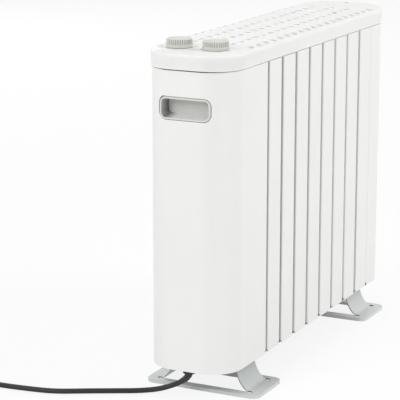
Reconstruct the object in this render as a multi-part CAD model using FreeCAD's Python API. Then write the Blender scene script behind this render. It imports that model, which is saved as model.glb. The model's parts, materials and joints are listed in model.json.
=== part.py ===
import FreeCAD, Part
import math
import os

# Oil-free radiator. Millimetres, +Z up, floor at zero, X along the body, origin under its middle.
# The control end with the knobs and the cord is at -X.

# Body
FIN_PITCH = 45.0
FIN_COUNT = 7
SLIT = 6.0
COVER_LENGTH = 115.5
BODY_DEPTH = 124.0
CORNER_RADIUS = 43.0
BODY_BOTTOM = 40.0
BODY_TOP = 432.0
SHEET = 1.2
PLATE = 1.5
FOLD = 2.0
LIP = 8.0
EDGE_LIP = 6.0
NOTCH = 1.8
NOTCH_HEIGHT = 3.0
STRIP_SET_BACK = 2.5
SEAM = 0.8
SEAM_DEPTH = 0.4
FIN_WIDTH = FIN_PITCH - SLIT
HALF_DEPTH = BODY_DEPTH / 2
INNER_DEPTH = HALF_DEPTH - SHEET
BULKHEAD_X = FIN_PITCH * (FIN_COUNT + 1) / 2
COVER_EDGE_X = BULKHEAD_X - FIN_PITCH / 2 + SLIT / 2
END_X = COVER_EDGE_X + COVER_LENGTH
BODY_LENGTH = 2 * END_X
SEAM_X = BULKHEAD_X + FIN_PITCH / 2

# Pans and shelves in the end compartments
PAN_BOTTOM = BODY_BOTTOM + SHEET
PAN_TOP = PAN_BOTTOM + PLATE
SHELF_BOTTOM = BODY_TOP - 6.0
SHELF_TOP = SHELF_BOTTOM + PLATE
SHELF_EDGE_X = BULKHEAD_X - 10.0
FLANGE = 15.0

# Rails through the fins
RAIL = 10.0
RAIL_Y = 38.0
RAIL_LOW_Z = BODY_BOTTOM + 26.0
RAIL_HIGH_Z = BODY_TOP - 26.0
RAIL_SCREW_RADIUS = 2.5
RAIL_SCREW_DEPTH = 15.0
SCREW_HEAD_RADIUS = 4.5
SCREW_HEAD = 3.0
CROSS_REACH = 0.6
CROSS_WIDTH = 0.32
CROSS_DEPTH = 1.3

# Heating elements
TUBE_RADIUS = 4.25
ELEMENT_GAP = 40.0
ELEMENT_LOW_Z = 120.0
ELEMENT_STEP = 120.0
ELEMENT_START_X = -BULKHEAD_X - 20.0
ELEMENT_BEND_X = BULKHEAD_X - 30.0
BUSHING_RADIUS = 7.0
BUSHING_FLANGE_RADIUS = 9.0
BUSHING_FLANGE = 5.0
TERMINAL_RADIUS = 1.5
TERMINAL = 14.0

# Top cap
CAP_OVERHANG = 1.5
CAP_HEIGHT = 25.0
CAP_WALL = 2.5
CAP_ROOF = 4.5
CAP_GAP = 1.3
CAP_BOTTOM = BODY_TOP + CAP_GAP
CAP_TOP = BODY_TOP + CAP_HEIGHT
CAP_ROUND = 8.0
NECK_SET_BACK = 3.0
NECK_WIDTH = 3.2
NECK_TOP = CAP_BOTTOM + 3.0
SLOT_LENGTH = 13.0
SLOT_WIDTH = 8.5
SLOT_CORNER = 2.5
SLOT_ROWS = 5
SLOT_EDGE = 6.0
SLOT_PITCH_X = FIN_PITCH / 2
SLOT_PITCH_Y = 2 * (HALF_DEPTH - SLOT_EDGE) / (SLOT_ROWS - 1)
PLAIN_END = 60.0
SLOT_COLUMNS = int(2 * (END_X - PLAIN_END) / SLOT_PITCH_X)
SLOT_FLOOR = CAP_TOP - 12.0
STRAP_X = FIN_PITCH * (FIN_COUNT - 1) / 2 + 9.0
CAP_SCREW_SPOTS = ((STRAP_X, -SLOT_PITCH_Y, BODY_TOP), (END_X - 18.0, 0.0, SHELF_TOP))
CAP_SCREW_RADIUS = 1.75
CAP_SCREW_HEAD_RADIUS = 3.5
CAP_SCREW_HEAD = 2.5
CAP_SCREW_RECESS = 4.0
BOSS_RADIUS = 5.0
STRAP_WIDTH = 12.0

# Controls: thermostat on the back side, selector on the front side
KNOB_X = -END_X + 31.5
KNOB_SPREAD = 25.5
KNOB_SHIFT = -2.9
THERMOSTAT_Y = KNOB_SHIFT + KNOB_SPREAD
SELECTOR_Y = KNOB_SHIFT - KNOB_SPREAD
KNOB_SPOTS = (THERMOSTAT_Y, SELECTOR_Y)
KNOB_RADIUS = 17.0
KNOB_GAP = 0.6
KNOB_HEIGHT = 10.7
KNOB_BAND = 4.2
KNOB_RIBS = 34
RIB_TIP_RADIUS = KNOB_RADIUS - 0.3
RIB_ROOT_RADIUS = RIB_TIP_RADIUS - 1.1
KNOB_CROWN = 0.8
KNOB_BOTTOM = CAP_TOP + KNOB_GAP
KNOB_TOP = KNOB_BOTTOM + KNOB_HEIGHT
SHAFT_RADIUS = 3.0
SHAFT_CLEARANCE = 0.05
SHAFT_HOLE_RADIUS = 6.5
SHAFT_BOTTOM = SHELF_BOTTOM - 14.0
SHAFT_TOP = KNOB_TOP - 4.0
SHAFT_END_GAP = 0.5
BUSH_RADIUS = 5.0
BUSH_TOP = SHELF_TOP + 8.0
CONTROL_SIZE = 32.0
CONTROL_DEPTH = 24.0

# Handle cups in the end covers
CUP_Z = BODY_TOP - 48.0
CUP_RIM = (71.0, 28.5, 9.0)
CUP_WALL = (69.0, 26.7, 7.8)
CUP_MOUTH = (66.5, 24.2, 6.5)
CUP_BACK = (63.5, 20.0, 5.0)
CUP_BACK_RISE = 1.0
CUP_DEPTH = 20.0
CUP_FLOOR = 1.5
CUP_FLANGE = 4.0
CUP_FLANGE_SHEET = 1.5
RIM_GAP = 0.8
RIM_PROUD = 0.6

# Feet
FOOT_X = BULKHEAD_X + 10.0
FOOT_WIDTH = 82.0
FOOT_LENGTH = 165.0
FOOT_CORNER = 12.0
FOOT_RIM = 4.5
FOOT_SHEET = 1.5
WINDOW_WIDTH = 57.0
WINDOW_END = 66.0
ARM_GAP = 1.0
ARM_WIDTH = WINDOW_WIDTH - 2 * ARM_GAP
ARM_START_ANGLE = 42.0
ARM_BEND = 10.0
TAB_BEND = 3.75
ARM_TAB = 14.0
RELIEF_RADIUS = 3.25
FOOT_SCREW_X = 14.0
FOOT_SCREW_RADIUS = 2.5
FOOT_SCREW_TIP = 6.0

# Parts in the control compartment
CUTOUT_RADIUS = 9.0
CUTOUT_DEPTH = 9.0
CUTOUT_Z = 330.0
BLOCK_SIZE = (20.0, 50.0, 20.0)
BLOCK_X = -FOOT_X - 36.0
TILT_SIZE = (22.0, 24.0, 32.0)
TILT_SPOT = (BLOCK_X, 42.0)
WIRE_RADIUS = 1.25
CORE_SPREAD = 1.7
CORE_COUNT = 3
LEAD_FAN = 5.0
LEAD_RISE = 10.5
FEED_Y = 16.7
LOAD_INSET = 6.4

# Cord
CORD_RADIUS = 3.5
CORD_DIAMETER = 2 * CORD_RADIUS
TIE_SHEET = 0.5
FLOOR_GAP = 0.05
CORD_Z = CORD_RADIUS + TIE_SHEET + FLOOR_GAP
GLAND_X = -END_X + 14.0
GLAND_RADIUS = 7.5
GLAND_FLANGE_RADIUS = 8.5
GLAND_SEAT_RADIUS = 6.5
GLAND_NECK_RADIUS = 5.5
GLAND_BOTTOM = BODY_BOTTOM - 5.5
GLAND_TOP = PAN_TOP + 3.5
LEAD_TOP = GLAND_TOP + 6.0
CORD_REACH = 74.0
CORD_ROUTE = (
    (GLAND_X, 0.0, GLAND_BOTTOM),
    (GLAND_X, 0.0, GLAND_BOTTOM - 7.5),
    (GLAND_X, 9.0, 18.5),
    (GLAND_X + 3.0, 31.0, 9.5),
    (GLAND_X - 8.0, 60.0, CORD_Z),
    (GLAND_X - 28.0, 91.0, CORD_Z),
    (GLAND_X - 45.0, 130.0, CORD_Z),
    (GLAND_X - 64.0, 166.0, CORD_Z),
    (GLAND_X - CORD_REACH + CORD_DIAMETER, 204.0, CORD_Z),
    (GLAND_X - CORD_REACH, 248.0, CORD_Z),
    (GLAND_X - CORD_REACH, 282.0, CORD_Z),
)
ROUTE_SHARE = 0.45
TINY = 0.0001

# Coil: spirals in on the floor, climbs a layer in half a turn, then spirals out
COIL_RADIUS = 47.0
COIL_STEP = CORD_DIAMETER + 0.6
COIL_LAYER = CORD_DIAMETER + 0.5
COIL_TURNS_IN = 2.0
COIL_TURNS_CLIMB = 0.5
COIL_TURNS_OUT = 1.75
COIL_STATION = 0.25
GAP_SAMPLE = 2.0
COIL_X = CORD_ROUTE[-1][0] - COIL_RADIUS
COIL_Y = CORD_ROUTE[-1][1] + CORD_DIAMETER
TIE_WIDTH = 10.0
PLUG_RADIUS = 18.0
PLUG_Z = PLUG_RADIUS
PLUG_REACH = 55.0
PLUG_GRIP = 26.0
PLUG_DISC = 18.0
PLUG_ENTRY_RADIUS = 6.5
PLUG_GRIP_RADIUS = 13.5
PLUG_EDGE = 3.0
PLUG_GROOVES = 5
PLUG_GROOVE = 0.9
PLUG_GROOVE_WIDTH = 1.8
PIN_RADIUS = 2.4
PIN_LENGTH = 19.0
PIN_TIP = 1.2
PIN_SPACING = 19.0

ORIGIN = FreeCAD.Vector(0, 0, 0)
X_AXIS = FreeCAD.Vector(1, 0, 0)
Y_AXIS = FreeCAD.Vector(0, 1, 0)
Z_AXIS = FreeCAD.Vector(0, 0, 1)


def vec(point):
    return FreeCAD.Vector(*point)


def box(x0, x1, y0, y1, z0, z1):
    return Part.makeBox(x1 - x0, y1 - y0, z1 - z0, FreeCAD.Vector(x0, y0, z0))


def rod(radius, start, axis, length):
    return Part.makeCylinder(radius, length, vec(start), axis)


def rounded_wire(width, height, radius):
    """Rounded rectangle about the origin in the XY plane."""
    a = width / 2
    b = height / 2
    k = radius * (1 - math.sqrt(0.5))
    edges = []
    for sx, sy in ((1, 1), (-1, 1), (-1, -1), (1, -1)):
        along = FreeCAD.Vector(sx * a, sy * (b - radius), 0)
        corner = FreeCAD.Vector(sx * (a - k), sy * (b - k), 0)
        across = FreeCAD.Vector(sx * (a - radius), sy * b, 0)
        ends = (along, across) if sx * sy > 0 else (across, along)
        if edges:
            edges.append(Part.LineSegment(edges[-1].lastVertex().Point, ends[0]).toShape())
        edges.append(Part.Arc(ends[0], corner, ends[1]).toShape())
    edges.append(Part.LineSegment(edges[-1].lastVertex().Point, edges[0].firstVertex().Point).toShape())
    return Part.Wire(edges)


def plan_prism(offset, z0, z1):
    """Upright prism on the body's plan, grown by an offset."""
    wire = rounded_wire(BODY_LENGTH + 2 * offset, BODY_DEPTH + 2 * offset, CORNER_RADIUS + offset)
    prism = Part.Face(wire).extrude(Z_AXIS * (z1 - z0))
    prism.translate(Z_AXIS * z0)
    return prism


def plan_ring(outer, inner, z0, z1):
    return plan_prism(outer, z0, z1).cut(plan_prism(inner, z0, z1))


def end_half(edge_x, z0, z1):
    """Space beyond an edge at the control end."""
    return box(-END_X - FLANGE, -edge_x, -BODY_DEPTH, BODY_DEPTH, z0, z1)


def mirrored(shape):
    """The same piece at the far end."""
    return shape.mirror(ORIGIN, X_AXIS)


def at_both_ends(shapes):
    return list(shapes) + [mirrored(shape) for shape in shapes]


def tidy(shape):
    return shape.removeSplitter()


def export(name, shapes):
    solids = []
    for shape in shapes:
        solids.extend(shape.Solids)
    for solid in solids:
        if not solid.isValid():
            print("not valid:", name)
    shape = solids[0] if len(solids) == 1 else Part.makeCompound(solids)
    shape.exportStep("parts/%s.step" % name)
    print(name, len(solids), round(shape.Volume))


# Handle cups

def cup_wire(size, x, z):
    """Rounded opening in a plane across the end of the body."""
    wire = rounded_wire(*size)
    wire.rotate(ORIGIN, Z_AXIS, 90)
    wire.rotate(ORIGIN, Y_AXIS, 90)
    wire.translate(FreeCAD.Vector(x, 0, z))
    return wire


def cup_prism(size, x0, x1):
    return Part.Face(cup_wire(size, x0, CUP_Z)).extrude(X_AXIS * (x1 - x0))


def cup_hollow():
    """Tapered hollow of the cup, from just outside the body to its back."""
    mouth = cup_wire(CUP_MOUTH, -END_X, CUP_Z)
    back = cup_wire(CUP_BACK, -END_X + CUP_DEPTH, CUP_Z + CUP_BACK_RISE)
    taper = Part.makeLoft([mouth, back], True, True)
    return taper.fuse(cup_prism(CUP_MOUTH, -END_X - FLANGE, -END_X))


def grown(size, reach):
    return size[0] + 2 * reach, size[1] + 2 * reach, size[2] + reach


def handle_cup():
    """Cup set in from behind: rim in the cover's window, flange behind the sheet, tapered hollow."""
    z0 = CUP_Z - CUP_RIM[1]
    z1 = CUP_Z + CUP_RIM[1]
    x0 = -END_X - FLANGE
    back_x = -END_X + CUP_DEPTH + CUP_FLOOR
    rim = cup_prism(CUP_RIM, x0, back_x).common(plan_ring(RIM_PROUD, -SHEET, z0, z1))
    behind = plan_ring(-SHEET, -SHEET - CUP_FLANGE_SHEET, z0, z1)
    flange = cup_prism(grown(CUP_RIM, CUP_FLANGE), x0, back_x).common(behind)
    wall = cup_prism(CUP_WALL, x0, back_x).common(plan_prism(RIM_PROUD, z0, z1))
    return tidy(rim.multiFuse([flange, wall]).cut(cup_hollow()))


# Sheet metal of the body

def end_cover():
    """U-shaped cover with lips along the slit and around its top and bottom."""
    skin = plan_ring(0, -SHEET, BODY_BOTTOM, BODY_TOP)
    low_lip = plan_ring(0, -SHEET - EDGE_LIP, BODY_BOTTOM, BODY_BOTTOM + SHEET)
    high_lip = plan_ring(0, -SHEET - EDGE_LIP, BODY_TOP - SHEET, BODY_TOP)
    skin = skin.multiFuse([low_lip, high_lip]).common(end_half(COVER_EDGE_X, 0, CAP_TOP))
    side_lips = []
    for side in (-1, 1):
        y0 = side * HALF_DEPTH
        y1 = side * (HALF_DEPTH - LIP)
        x0 = -COVER_EDGE_X - SHEET
        side_lips.append(box(x0, -COVER_EDGE_X, min(y0, y1), max(y0, y1), BODY_BOTTOM, BODY_TOP))
    window = cup_prism(grown(CUP_RIM, RIM_GAP), -END_X - FLANGE, -END_X + FLANGE)
    return tidy(skin.multiFuse(side_lips).cut(window).cut(fold_notches(-COVER_EDGE_X)))


def far_cover():
    """Cover of the far end, with a seam pressed into each of its sides."""
    seam = box(SEAM_X - SEAM / 2, SEAM_X + SEAM / 2, -BODY_DEPTH, BODY_DEPTH, BODY_BOTTOM, BODY_TOP)
    seams = seam.cut(plan_prism(-SEAM_DEPTH, BODY_BOTTOM, BODY_TOP))
    return tidy(mirrored(end_cover()).cut(seams).cut(fold_notches(SEAM_X)))


def fold_notches(x):
    """Relief notches at the lower corners of the folds on both sides of the body."""
    notches = []
    for side in (-1, 1):
        y0 = side * HALF_DEPTH
        y1 = side * (HALF_DEPTH - LIP)
        z1 = BODY_BOTTOM + NOTCH_HEIGHT
        notches.append(box(x - NOTCH, x + NOTCH, min(y0, y1), max(y0, y1), BODY_BOTTOM, z1))
    return Part.makeCompound(notches)


def fin(x):
    """Fin with a web across the body and a lipped slat on each side."""
    half = FIN_WIDTH / 2
    web = box(x - PLATE / 2, x + PLATE / 2, -INNER_DEPTH, INNER_DEPTH, BODY_BOTTOM, BODY_TOP)
    pieces = []
    for side in (-1, 1):
        slat = box(x - half, x + half, HALF_DEPTH - LIP, HALF_DEPTH, BODY_BOTTOM, BODY_TOP)
        corners = [e for e in slat.Edges if is_upright(e) and e.CenterOfMass.y > INNER_DEPTH]
        slat = slat.makeFillet(FOLD, corners)
        hollow = box(x - half + SHEET, x + half - SHEET, 0, INNER_DEPTH, 0, CAP_TOP)
        slat = slat.cut(hollow)
        pieces.append(slat if side > 0 else slat.mirror(ORIGIN, Y_AXIS))
    cuts = [fold_notches(x - half), fold_notches(x + half)] + slit_strips()
    for y, z in rail_spots():
        cuts.append(box(x - RAIL, x + RAIL, y - RAIL / 2, y + RAIL / 2, z - RAIL / 2, z + RAIL / 2))
    for z in element_levels():
        cuts.append(rod(TUBE_RADIUS, (x - RAIL, 0, z), X_AXIS, 2 * RAIL))
    return tidy(web.multiFuse(pieces).cut(Part.makeCompound(cuts)))


def slit_strips():
    """Strips through the fins that close the lower ends of the slits."""
    strips = []
    for side in (-1, 1):
        y0 = side * (HALF_DEPTH - STRIP_SET_BACK)
        y1 = side * (HALF_DEPTH - LIP)
        z1 = BODY_BOTTOM + PLATE
        strips.append(box(-COVER_EDGE_X, COVER_EDGE_X, min(y0, y1), max(y0, y1), BODY_BOTTOM, z1))
    return strips


def is_upright(edge):
    ends = [v.Point for v in edge.Vertexes]
    return len(ends) == 2 and abs(ends[0].z - ends[1].z) > BODY_BOTTOM


def rail_spots():
    return [(side * RAIL_Y, z) for side in (-1, 1) for z in (RAIL_LOW_Z, RAIL_HIGH_Z)]


def element_levels():
    return [ELEMENT_LOW_Z + step + gap for step in (0, ELEMENT_STEP) for gap in (0, ELEMENT_GAP)]


def bulkhead():
    """Folded plate across the control end of the fin pack."""
    x0 = -BULKHEAD_X - PLATE / 2
    x1 = -BULKHEAD_X + PLATE / 2
    web = box(x0, x1, -INNER_DEPTH, INNER_DEPTH, PAN_TOP, SHELF_BOTTOM)
    flanges = []
    for side in (-1, 1):
        y0 = side * INNER_DEPTH
        y1 = side * (INNER_DEPTH - PLATE)
        flanges.append(box(x1 - FLANGE, x1, min(y0, y1), max(y0, y1), PAN_TOP, SHELF_BOTTOM))
    holes = [rod(RAIL_SCREW_RADIUS, (x0 - RAIL, y, z), X_AXIS, 2 * RAIL) for y, z in rail_spots()]
    return tidy(web.multiFuse(flanges).cut(Part.makeCompound(holes)))


def near_bulkhead():
    start = -BULKHEAD_X - RAIL
    holes = [rod(BUSHING_RADIUS, (start, 0, z), X_AXIS, 2 * RAIL) for z in element_levels()]
    return bulkhead().cut(Part.makeCompound(holes))


def rail(y, z):
    x = BULKHEAD_X - PLATE / 2
    bar = box(-x, x, y - RAIL / 2, y + RAIL / 2, z - RAIL / 2, z + RAIL / 2)
    return bar.cut(rod(RAIL_SCREW_RADIUS, (-x, y, z), X_AXIS, 2 * x))


def rail_screw(y, z):
    face = -BULKHEAD_X - PLATE / 2
    head = rod(SCREW_HEAD_RADIUS, (face - SCREW_HEAD, y, z), X_AXIS, SCREW_HEAD)
    return tidy(head.fuse(rod(RAIL_SCREW_RADIUS, (face, y, z), X_AXIS, PLATE + RAIL_SCREW_DEPTH)))


def base_pan(with_gland):
    pan = plan_prism(-SHEET, PAN_BOTTOM, PAN_TOP).common(end_half(COVER_EDGE_X + SHEET, 0, CAP_TOP))
    side_lips = box(-COVER_EDGE_X - 2 * SHEET, 0, HALF_DEPTH - LIP, HALF_DEPTH, 0, CAP_TOP)
    pan = pan.cut(side_lips).cut(side_lips.mirror(ORIGIN, Y_AXIS))
    holes = [rod(FOOT_SCREW_RADIUS, (x - FOOT_X, y, 0), Z_AXIS, BODY_TOP) for x, y in foot_screw_spots()]
    if with_gland:
        holes.append(rod(GLAND_NECK_RADIUS, (GLAND_X, 0, 0), Z_AXIS, BODY_TOP))
    return pan.cut(Part.makeCompound(holes))


def shelf(with_controls):
    plate = plan_prism(-SHEET, SHELF_BOTTOM, SHELF_TOP).common(end_half(SHELF_EDGE_X, 0, CAP_TOP))
    if not with_controls:
        return plate
    holes = [rod(BUSH_RADIUS, (KNOB_X, y, 0), Z_AXIS, CAP_TOP) for y in KNOB_SPOTS]
    return plate.cut(Part.makeCompound(holes))


def cap_strap():
    """Strap between the slats of the last fin, under a screw boss of the cap."""
    x = CAP_SCREW_SPOTS[0][0]
    half = STRAP_WIDTH / 2
    strap = box(x - half, x + half, -INNER_DEPTH, INNER_DEPTH, BODY_TOP - PLATE, BODY_TOP)
    y = CAP_SCREW_SPOTS[0][1]
    return strap.cut(rod(CAP_SCREW_RADIUS, (x, y, 0), Z_AXIS, CAP_TOP))


def far_shelf():
    x, y, seat = CAP_SCREW_SPOTS[1]
    return mirrored(shelf(False)).cut(rod(CAP_SCREW_RADIUS, (x, y, 0), Z_AXIS, CAP_TOP))


# Heating elements

def element(z):
    """Hairpin tube with its bend at the far end."""
    bend = ELEMENT_GAP / 2
    low = FreeCAD.Vector(ELEMENT_START_X, 0, z)
    low_end = FreeCAD.Vector(ELEMENT_BEND_X, 0, z)
    apex = FreeCAD.Vector(ELEMENT_BEND_X + bend, 0, z + bend)
    high_end = low_end + Z_AXIS * ELEMENT_GAP
    high = low + Z_AXIS * ELEMENT_GAP
    run_in = Part.LineSegment(low, low_end).toShape()
    turn = Part.Arc(low_end, apex, high_end).toShape()
    run_out = Part.LineSegment(high_end, high).toShape()
    return tube(Part.Wire([run_in, turn, run_out]), low, X_AXIS, TUBE_RADIUS)


def element_bushing(z):
    face = -BULKHEAD_X - PLATE / 2
    ring = rod(BUSHING_FLANGE_RADIUS, (face - BUSHING_FLANGE, 0, z), X_AXIS, BUSHING_FLANGE)
    ring = ring.fuse(rod(BUSHING_RADIUS, (face, 0, z), X_AXIS, PLATE))
    return tidy(ring.cut(rod(TUBE_RADIUS, (face - RAIL, 0, z), X_AXIS, 3 * RAIL)))


def element_terminal(z):
    return rod(TERMINAL_RADIUS, (ELEMENT_START_X - TERMINAL, 0, z), X_AXIS, TERMINAL)


# Top cap

def slot_cutters():
    """Air slots in rows, every other row set half a pitch aside."""
    slots = []
    for row in range(SLOT_ROWS):
        y = (row - (SLOT_ROWS - 1) / 2) * SLOT_PITCH_Y
        columns = SLOT_COLUMNS - row % 2
        for column in range(columns):
            x = (column - (columns - 1) / 2) * SLOT_PITCH_X
            if meets_boss(x, y):
                continue
            outline = rounded_wire(SLOT_LENGTH, SLOT_WIDTH, SLOT_CORNER)
            outline.translate(FreeCAD.Vector(x, y, SLOT_FLOOR))
            slots.append(Part.Face(outline).extrude(Z_AXIS * (CAP_TOP + CAP_WALL - SLOT_FLOOR)))
    return Part.makeCompound(slots)


def meets_boss(x, y):
    for boss_x, boss_y, seat in CAP_SCREW_SPOTS:
        beside = abs(x - boss_x) > SLOT_LENGTH / 2 + BOSS_RADIUS
        before = abs(y - boss_y) > SLOT_WIDTH / 2 + BOSS_RADIUS
        if not beside and not before:
            return True
    return False


def rounded_block(offset, top, radius):
    """Block on the body's plan with its upper edge rounded."""
    block = plan_prism(offset, CAP_BOTTOM, top)
    upper_face = max(block.Faces, key=lambda face: face.CenterOfMass.z)
    return block.makeFillet(radius, upper_face.Edges)


def top_cap():
    outer = rounded_block(CAP_OVERHANG, CAP_TOP, CAP_ROUND)
    inner = rounded_block(CAP_OVERHANG - CAP_WALL, CAP_TOP - CAP_ROOF, CAP_ROUND - CAP_WALL)
    neck_inside = -NECK_SET_BACK - NECK_WIDTH
    ledge = plan_ring(0, neck_inside, CAP_BOTTOM, NECK_TOP)
    neck = plan_ring(-NECK_SET_BACK, neck_inside, BODY_TOP, NECK_TOP)
    shell = outer.cut(inner).multiFuse([ledge, neck]).cut(slot_cutters())
    bosses = []
    holes = []
    for x, y, seat in CAP_SCREW_SPOTS:
        bosses.append(rod(BOSS_RADIUS, (x, y, seat), Z_AXIS, CAP_TOP - CAP_WALL / 2 - seat))
        holes.append(rod(CAP_SCREW_RADIUS, (x, y, 0), Z_AXIS, CAP_TOP))
        recess = CAP_TOP - CAP_SCREW_RECESS
        holes.append(rod(CAP_SCREW_HEAD_RADIUS, (x, y, recess), Z_AXIS, 2 * CAP_SCREW_RECESS))
    for y in KNOB_SPOTS:
        holes.append(rod(SHAFT_HOLE_RADIUS, (KNOB_X, y, CAP_BOTTOM), Z_AXIS, CAP_TOP))
    return tidy(shell.multiFuse(bosses).cut(Part.makeCompound(holes)))


def cross_recess(x, y, z, radius):
    """Cross-shaped recess for a screwdriver, up from a level."""
    reach = radius * CROSS_REACH
    half = radius * CROSS_WIDTH / 2
    along = box(x - reach, x + reach, y - half, y + half, z, z + CROSS_DEPTH)
    across = box(x - half, x + half, y - reach, y + reach, z, z + CROSS_DEPTH)
    return along.fuse(across)


def cap_screw(x, y, seat):
    recess = CAP_TOP - CAP_SCREW_RECESS
    head = rod(CAP_SCREW_HEAD_RADIUS, (x, y, recess), Z_AXIS, CAP_SCREW_HEAD)
    head = head.cut(cross_recess(x, y, recess + CAP_SCREW_HEAD - CROSS_DEPTH, CAP_SCREW_HEAD_RADIUS))
    tip = seat - PLATE
    return tidy(head.fuse(rod(CAP_SCREW_RADIUS, (x, y, tip), Z_AXIS, recess - tip)))


# Controls

def ribbed_prism(x, y, z0, z1):
    points = []
    for i in range(2 * KNOB_RIBS):
        angle = math.pi * i / KNOB_RIBS
        radius = RIB_TIP_RADIUS if i % 2 else RIB_ROOT_RADIUS
        points.append(FreeCAD.Vector(x + radius * math.cos(angle), y + radius * math.sin(angle), z0))
    return Part.Face(Part.makePolygon(points + points[:1])).extrude(Z_AXIS * (z1 - z0))


def knob(y):
    """Ribbed knob with a smooth band below and a bevelled crown."""
    band_top = KNOB_BOTTOM + KNOB_BAND
    crown = KNOB_TOP - KNOB_CROWN
    band = rod(KNOB_RADIUS, (KNOB_X, y, KNOB_BOTTOM), Z_AXIS, KNOB_BAND)
    ribs = ribbed_prism(KNOB_X, y, band_top, crown)
    centre = FreeCAD.Vector(KNOB_X, y, crown)
    top = Part.makeCone(RIB_ROOT_RADIUS, RIB_ROOT_RADIUS - KNOB_CROWN, KNOB_CROWN, centre, Z_AXIS)
    bore = rod(SHAFT_RADIUS, (KNOB_X, y, KNOB_BOTTOM), Z_AXIS, SHAFT_TOP - KNOB_BOTTOM)
    return tidy(band.multiFuse([ribs, top]).cut(bore))


def shaft(y):
    return rod(SHAFT_RADIUS, (KNOB_X, y, SHAFT_BOTTOM), Z_AXIS, SHAFT_TOP - SHAFT_BOTTOM)


def control_body(y, size):
    """Switch body under the control shelf, with a bush for its shaft."""
    half = size / 2
    case = box(KNOB_X - half, KNOB_X + half, y - half, y + half, SHELF_BOTTOM - CONTROL_DEPTH, SHELF_BOTTOM)
    bush = rod(BUSH_RADIUS, (KNOB_X, y, SHELF_BOTTOM), Z_AXIS, BUSH_TOP - SHELF_BOTTOM)
    floor = SHAFT_BOTTOM - SHAFT_END_GAP
    bore = rod(SHAFT_RADIUS + SHAFT_CLEARANCE, (KNOB_X, y, floor), Z_AXIS, BUSH_TOP - floor)
    return tidy(case.fuse(bush).cut(bore))


# Feet

def bent_strip(start, heading, moves, thickness):
    """Face of a bent sheet in the YZ plane. A move is (length,) or (radius, angle)."""
    half = thickness / 2
    u, z = start
    angle = math.radians(heading)
    left = []
    right = []

    def side_point(offset, at_u, at_z, at_angle):
        return FreeCAD.Vector(0, at_u - offset * math.sin(at_angle), at_z + offset * math.cos(at_angle))

    for move in moves:
        if len(move) == 1:
            u2 = u + move[0] * math.cos(angle)
            z2 = z + move[0] * math.sin(angle)
            for offset, edges in ((half, left), (-half, right)):
                a = side_point(offset, u, z, angle)
                b = side_point(offset, u2, z2, angle)
                edges.append(Part.LineSegment(a, b).toShape())
            u, z = u2, z2
            continue
        radius, degrees = move
        turn = math.radians(degrees)
        sign = 1 if turn > 0 else -1
        centre_u = u - sign * radius * math.sin(angle)
        centre_z = z + sign * radius * math.cos(angle)
        stops = []
        for share in (0, 0.5, 1):
            at = angle + share * turn
            stop_u = centre_u + sign * radius * math.sin(at)
            stop_z = centre_z - sign * radius * math.cos(at)
            stops.append((stop_u, stop_z, at))
        for offset, edges in ((half, left), (-half, right)):
            a, m, b = [side_point(offset, *stop) for stop in stops]
            edges.append(Part.Arc(a, m, b).toShape())
        u, z, angle = stops[-1]
    ends = []
    ends.append(Part.LineSegment(left[-1].lastVertex().Point, right[-1].lastVertex().Point).toShape())
    ends.append(Part.LineSegment(right[0].firstVertex().Point, left[0].firstVertex().Point).toShape())
    return Part.Face(Part.Wire(Part.__sortEdges__(left + right + ends)))


def arm_sweep_radius():
    """Radius of the arm's sweep that brings its tab up to the pan."""
    angle = math.radians(ARM_START_ANGLE)
    rise = PAN_BOTTOM - FOOT_RIM - ARM_BEND * (1 - math.cos(angle)) - TAB_BEND
    return rise / math.cos(angle)


def foot_screw_y():
    """Middle of the flat of the arm's tab."""
    angle = math.radians(ARM_START_ANGLE)
    reach = ARM_BEND * math.sin(angle) + arm_sweep_radius() * (1 - math.sin(angle)) + TAB_BEND
    return WINDOW_END - reach - ARM_TAB / 2


def foot_arm():
    """Arm bent up from the window's end, curving to upright, with a tab under the pan."""
    start_z = FOOT_RIM - FOOT_SHEET / 2
    tab_z = PAN_BOTTOM - FOOT_SHEET / 2
    sweep = arm_sweep_radius()
    moves = [(ARM_BEND, ARM_START_ANGLE), (sweep, 90 - ARM_START_ANGLE), (TAB_BEND, -90), (ARM_TAB,)]
    face = bent_strip((-WINDOW_END, start_z), 0, moves, FOOT_SHEET)
    face.translate(X_AXIS * (-ARM_WIDTH / 2))
    return face.extrude(X_AXIS * ARM_WIDTH)


def foot_screw_spots():
    y = foot_screw_y()
    return [(sx * FOOT_SCREW_X, sy * y) for sx in (-1, 1) for sy in (-1, 1)]


def foot(x):
    """Pressed foot: plate on turned-down rims, a window, two arms and relief holes beside them."""
    outline = rounded_wire(FOOT_WIDTH, FOOT_LENGTH, FOOT_CORNER)
    block = Part.Face(outline).extrude(Z_AXIS * FOOT_RIM)
    inner_width = FOOT_WIDTH - 2 * FOOT_SHEET
    inner_length = FOOT_LENGTH - 2 * FOOT_SHEET
    inside = rounded_wire(inner_width, inner_length, FOOT_CORNER - FOOT_SHEET)
    block = block.cut(Part.Face(inside).extrude(Z_AXIS * (FOOT_RIM - FOOT_SHEET)))
    half = WINDOW_WIDTH / 2
    edge = half + FOOT_SHEET
    rim_end = WINDOW_END - 2 * RELIEF_RADIUS
    inner_rims = box(-edge, edge, -rim_end, rim_end, 0, FOOT_RIM)
    block = block.fuse(inner_rims).cut(box(-half, half, -WINDOW_END, WINDOW_END, 0, BODY_BOTTOM))
    arm = foot_arm()
    other_arm = arm.mirror(ORIGIN, Y_AXIS)
    holes = [rod(FOOT_SCREW_RADIUS, (hx, hy, 0), Z_AXIS, BODY_TOP) for hx, hy in foot_screw_spots()]
    for hx, hy in ((-half, -WINDOW_END), (-half, WINDOW_END), (half, -WINDOW_END), (half, WINDOW_END)):
        holes.append(rod(RELIEF_RADIUS, (hx, hy, 0), Z_AXIS, 2 * FOOT_RIM))
    plate = tidy(block.multiFuse([arm, other_arm]).cut(Part.makeCompound(holes)))
    plate.translate(X_AXIS * x)
    return plate


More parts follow.
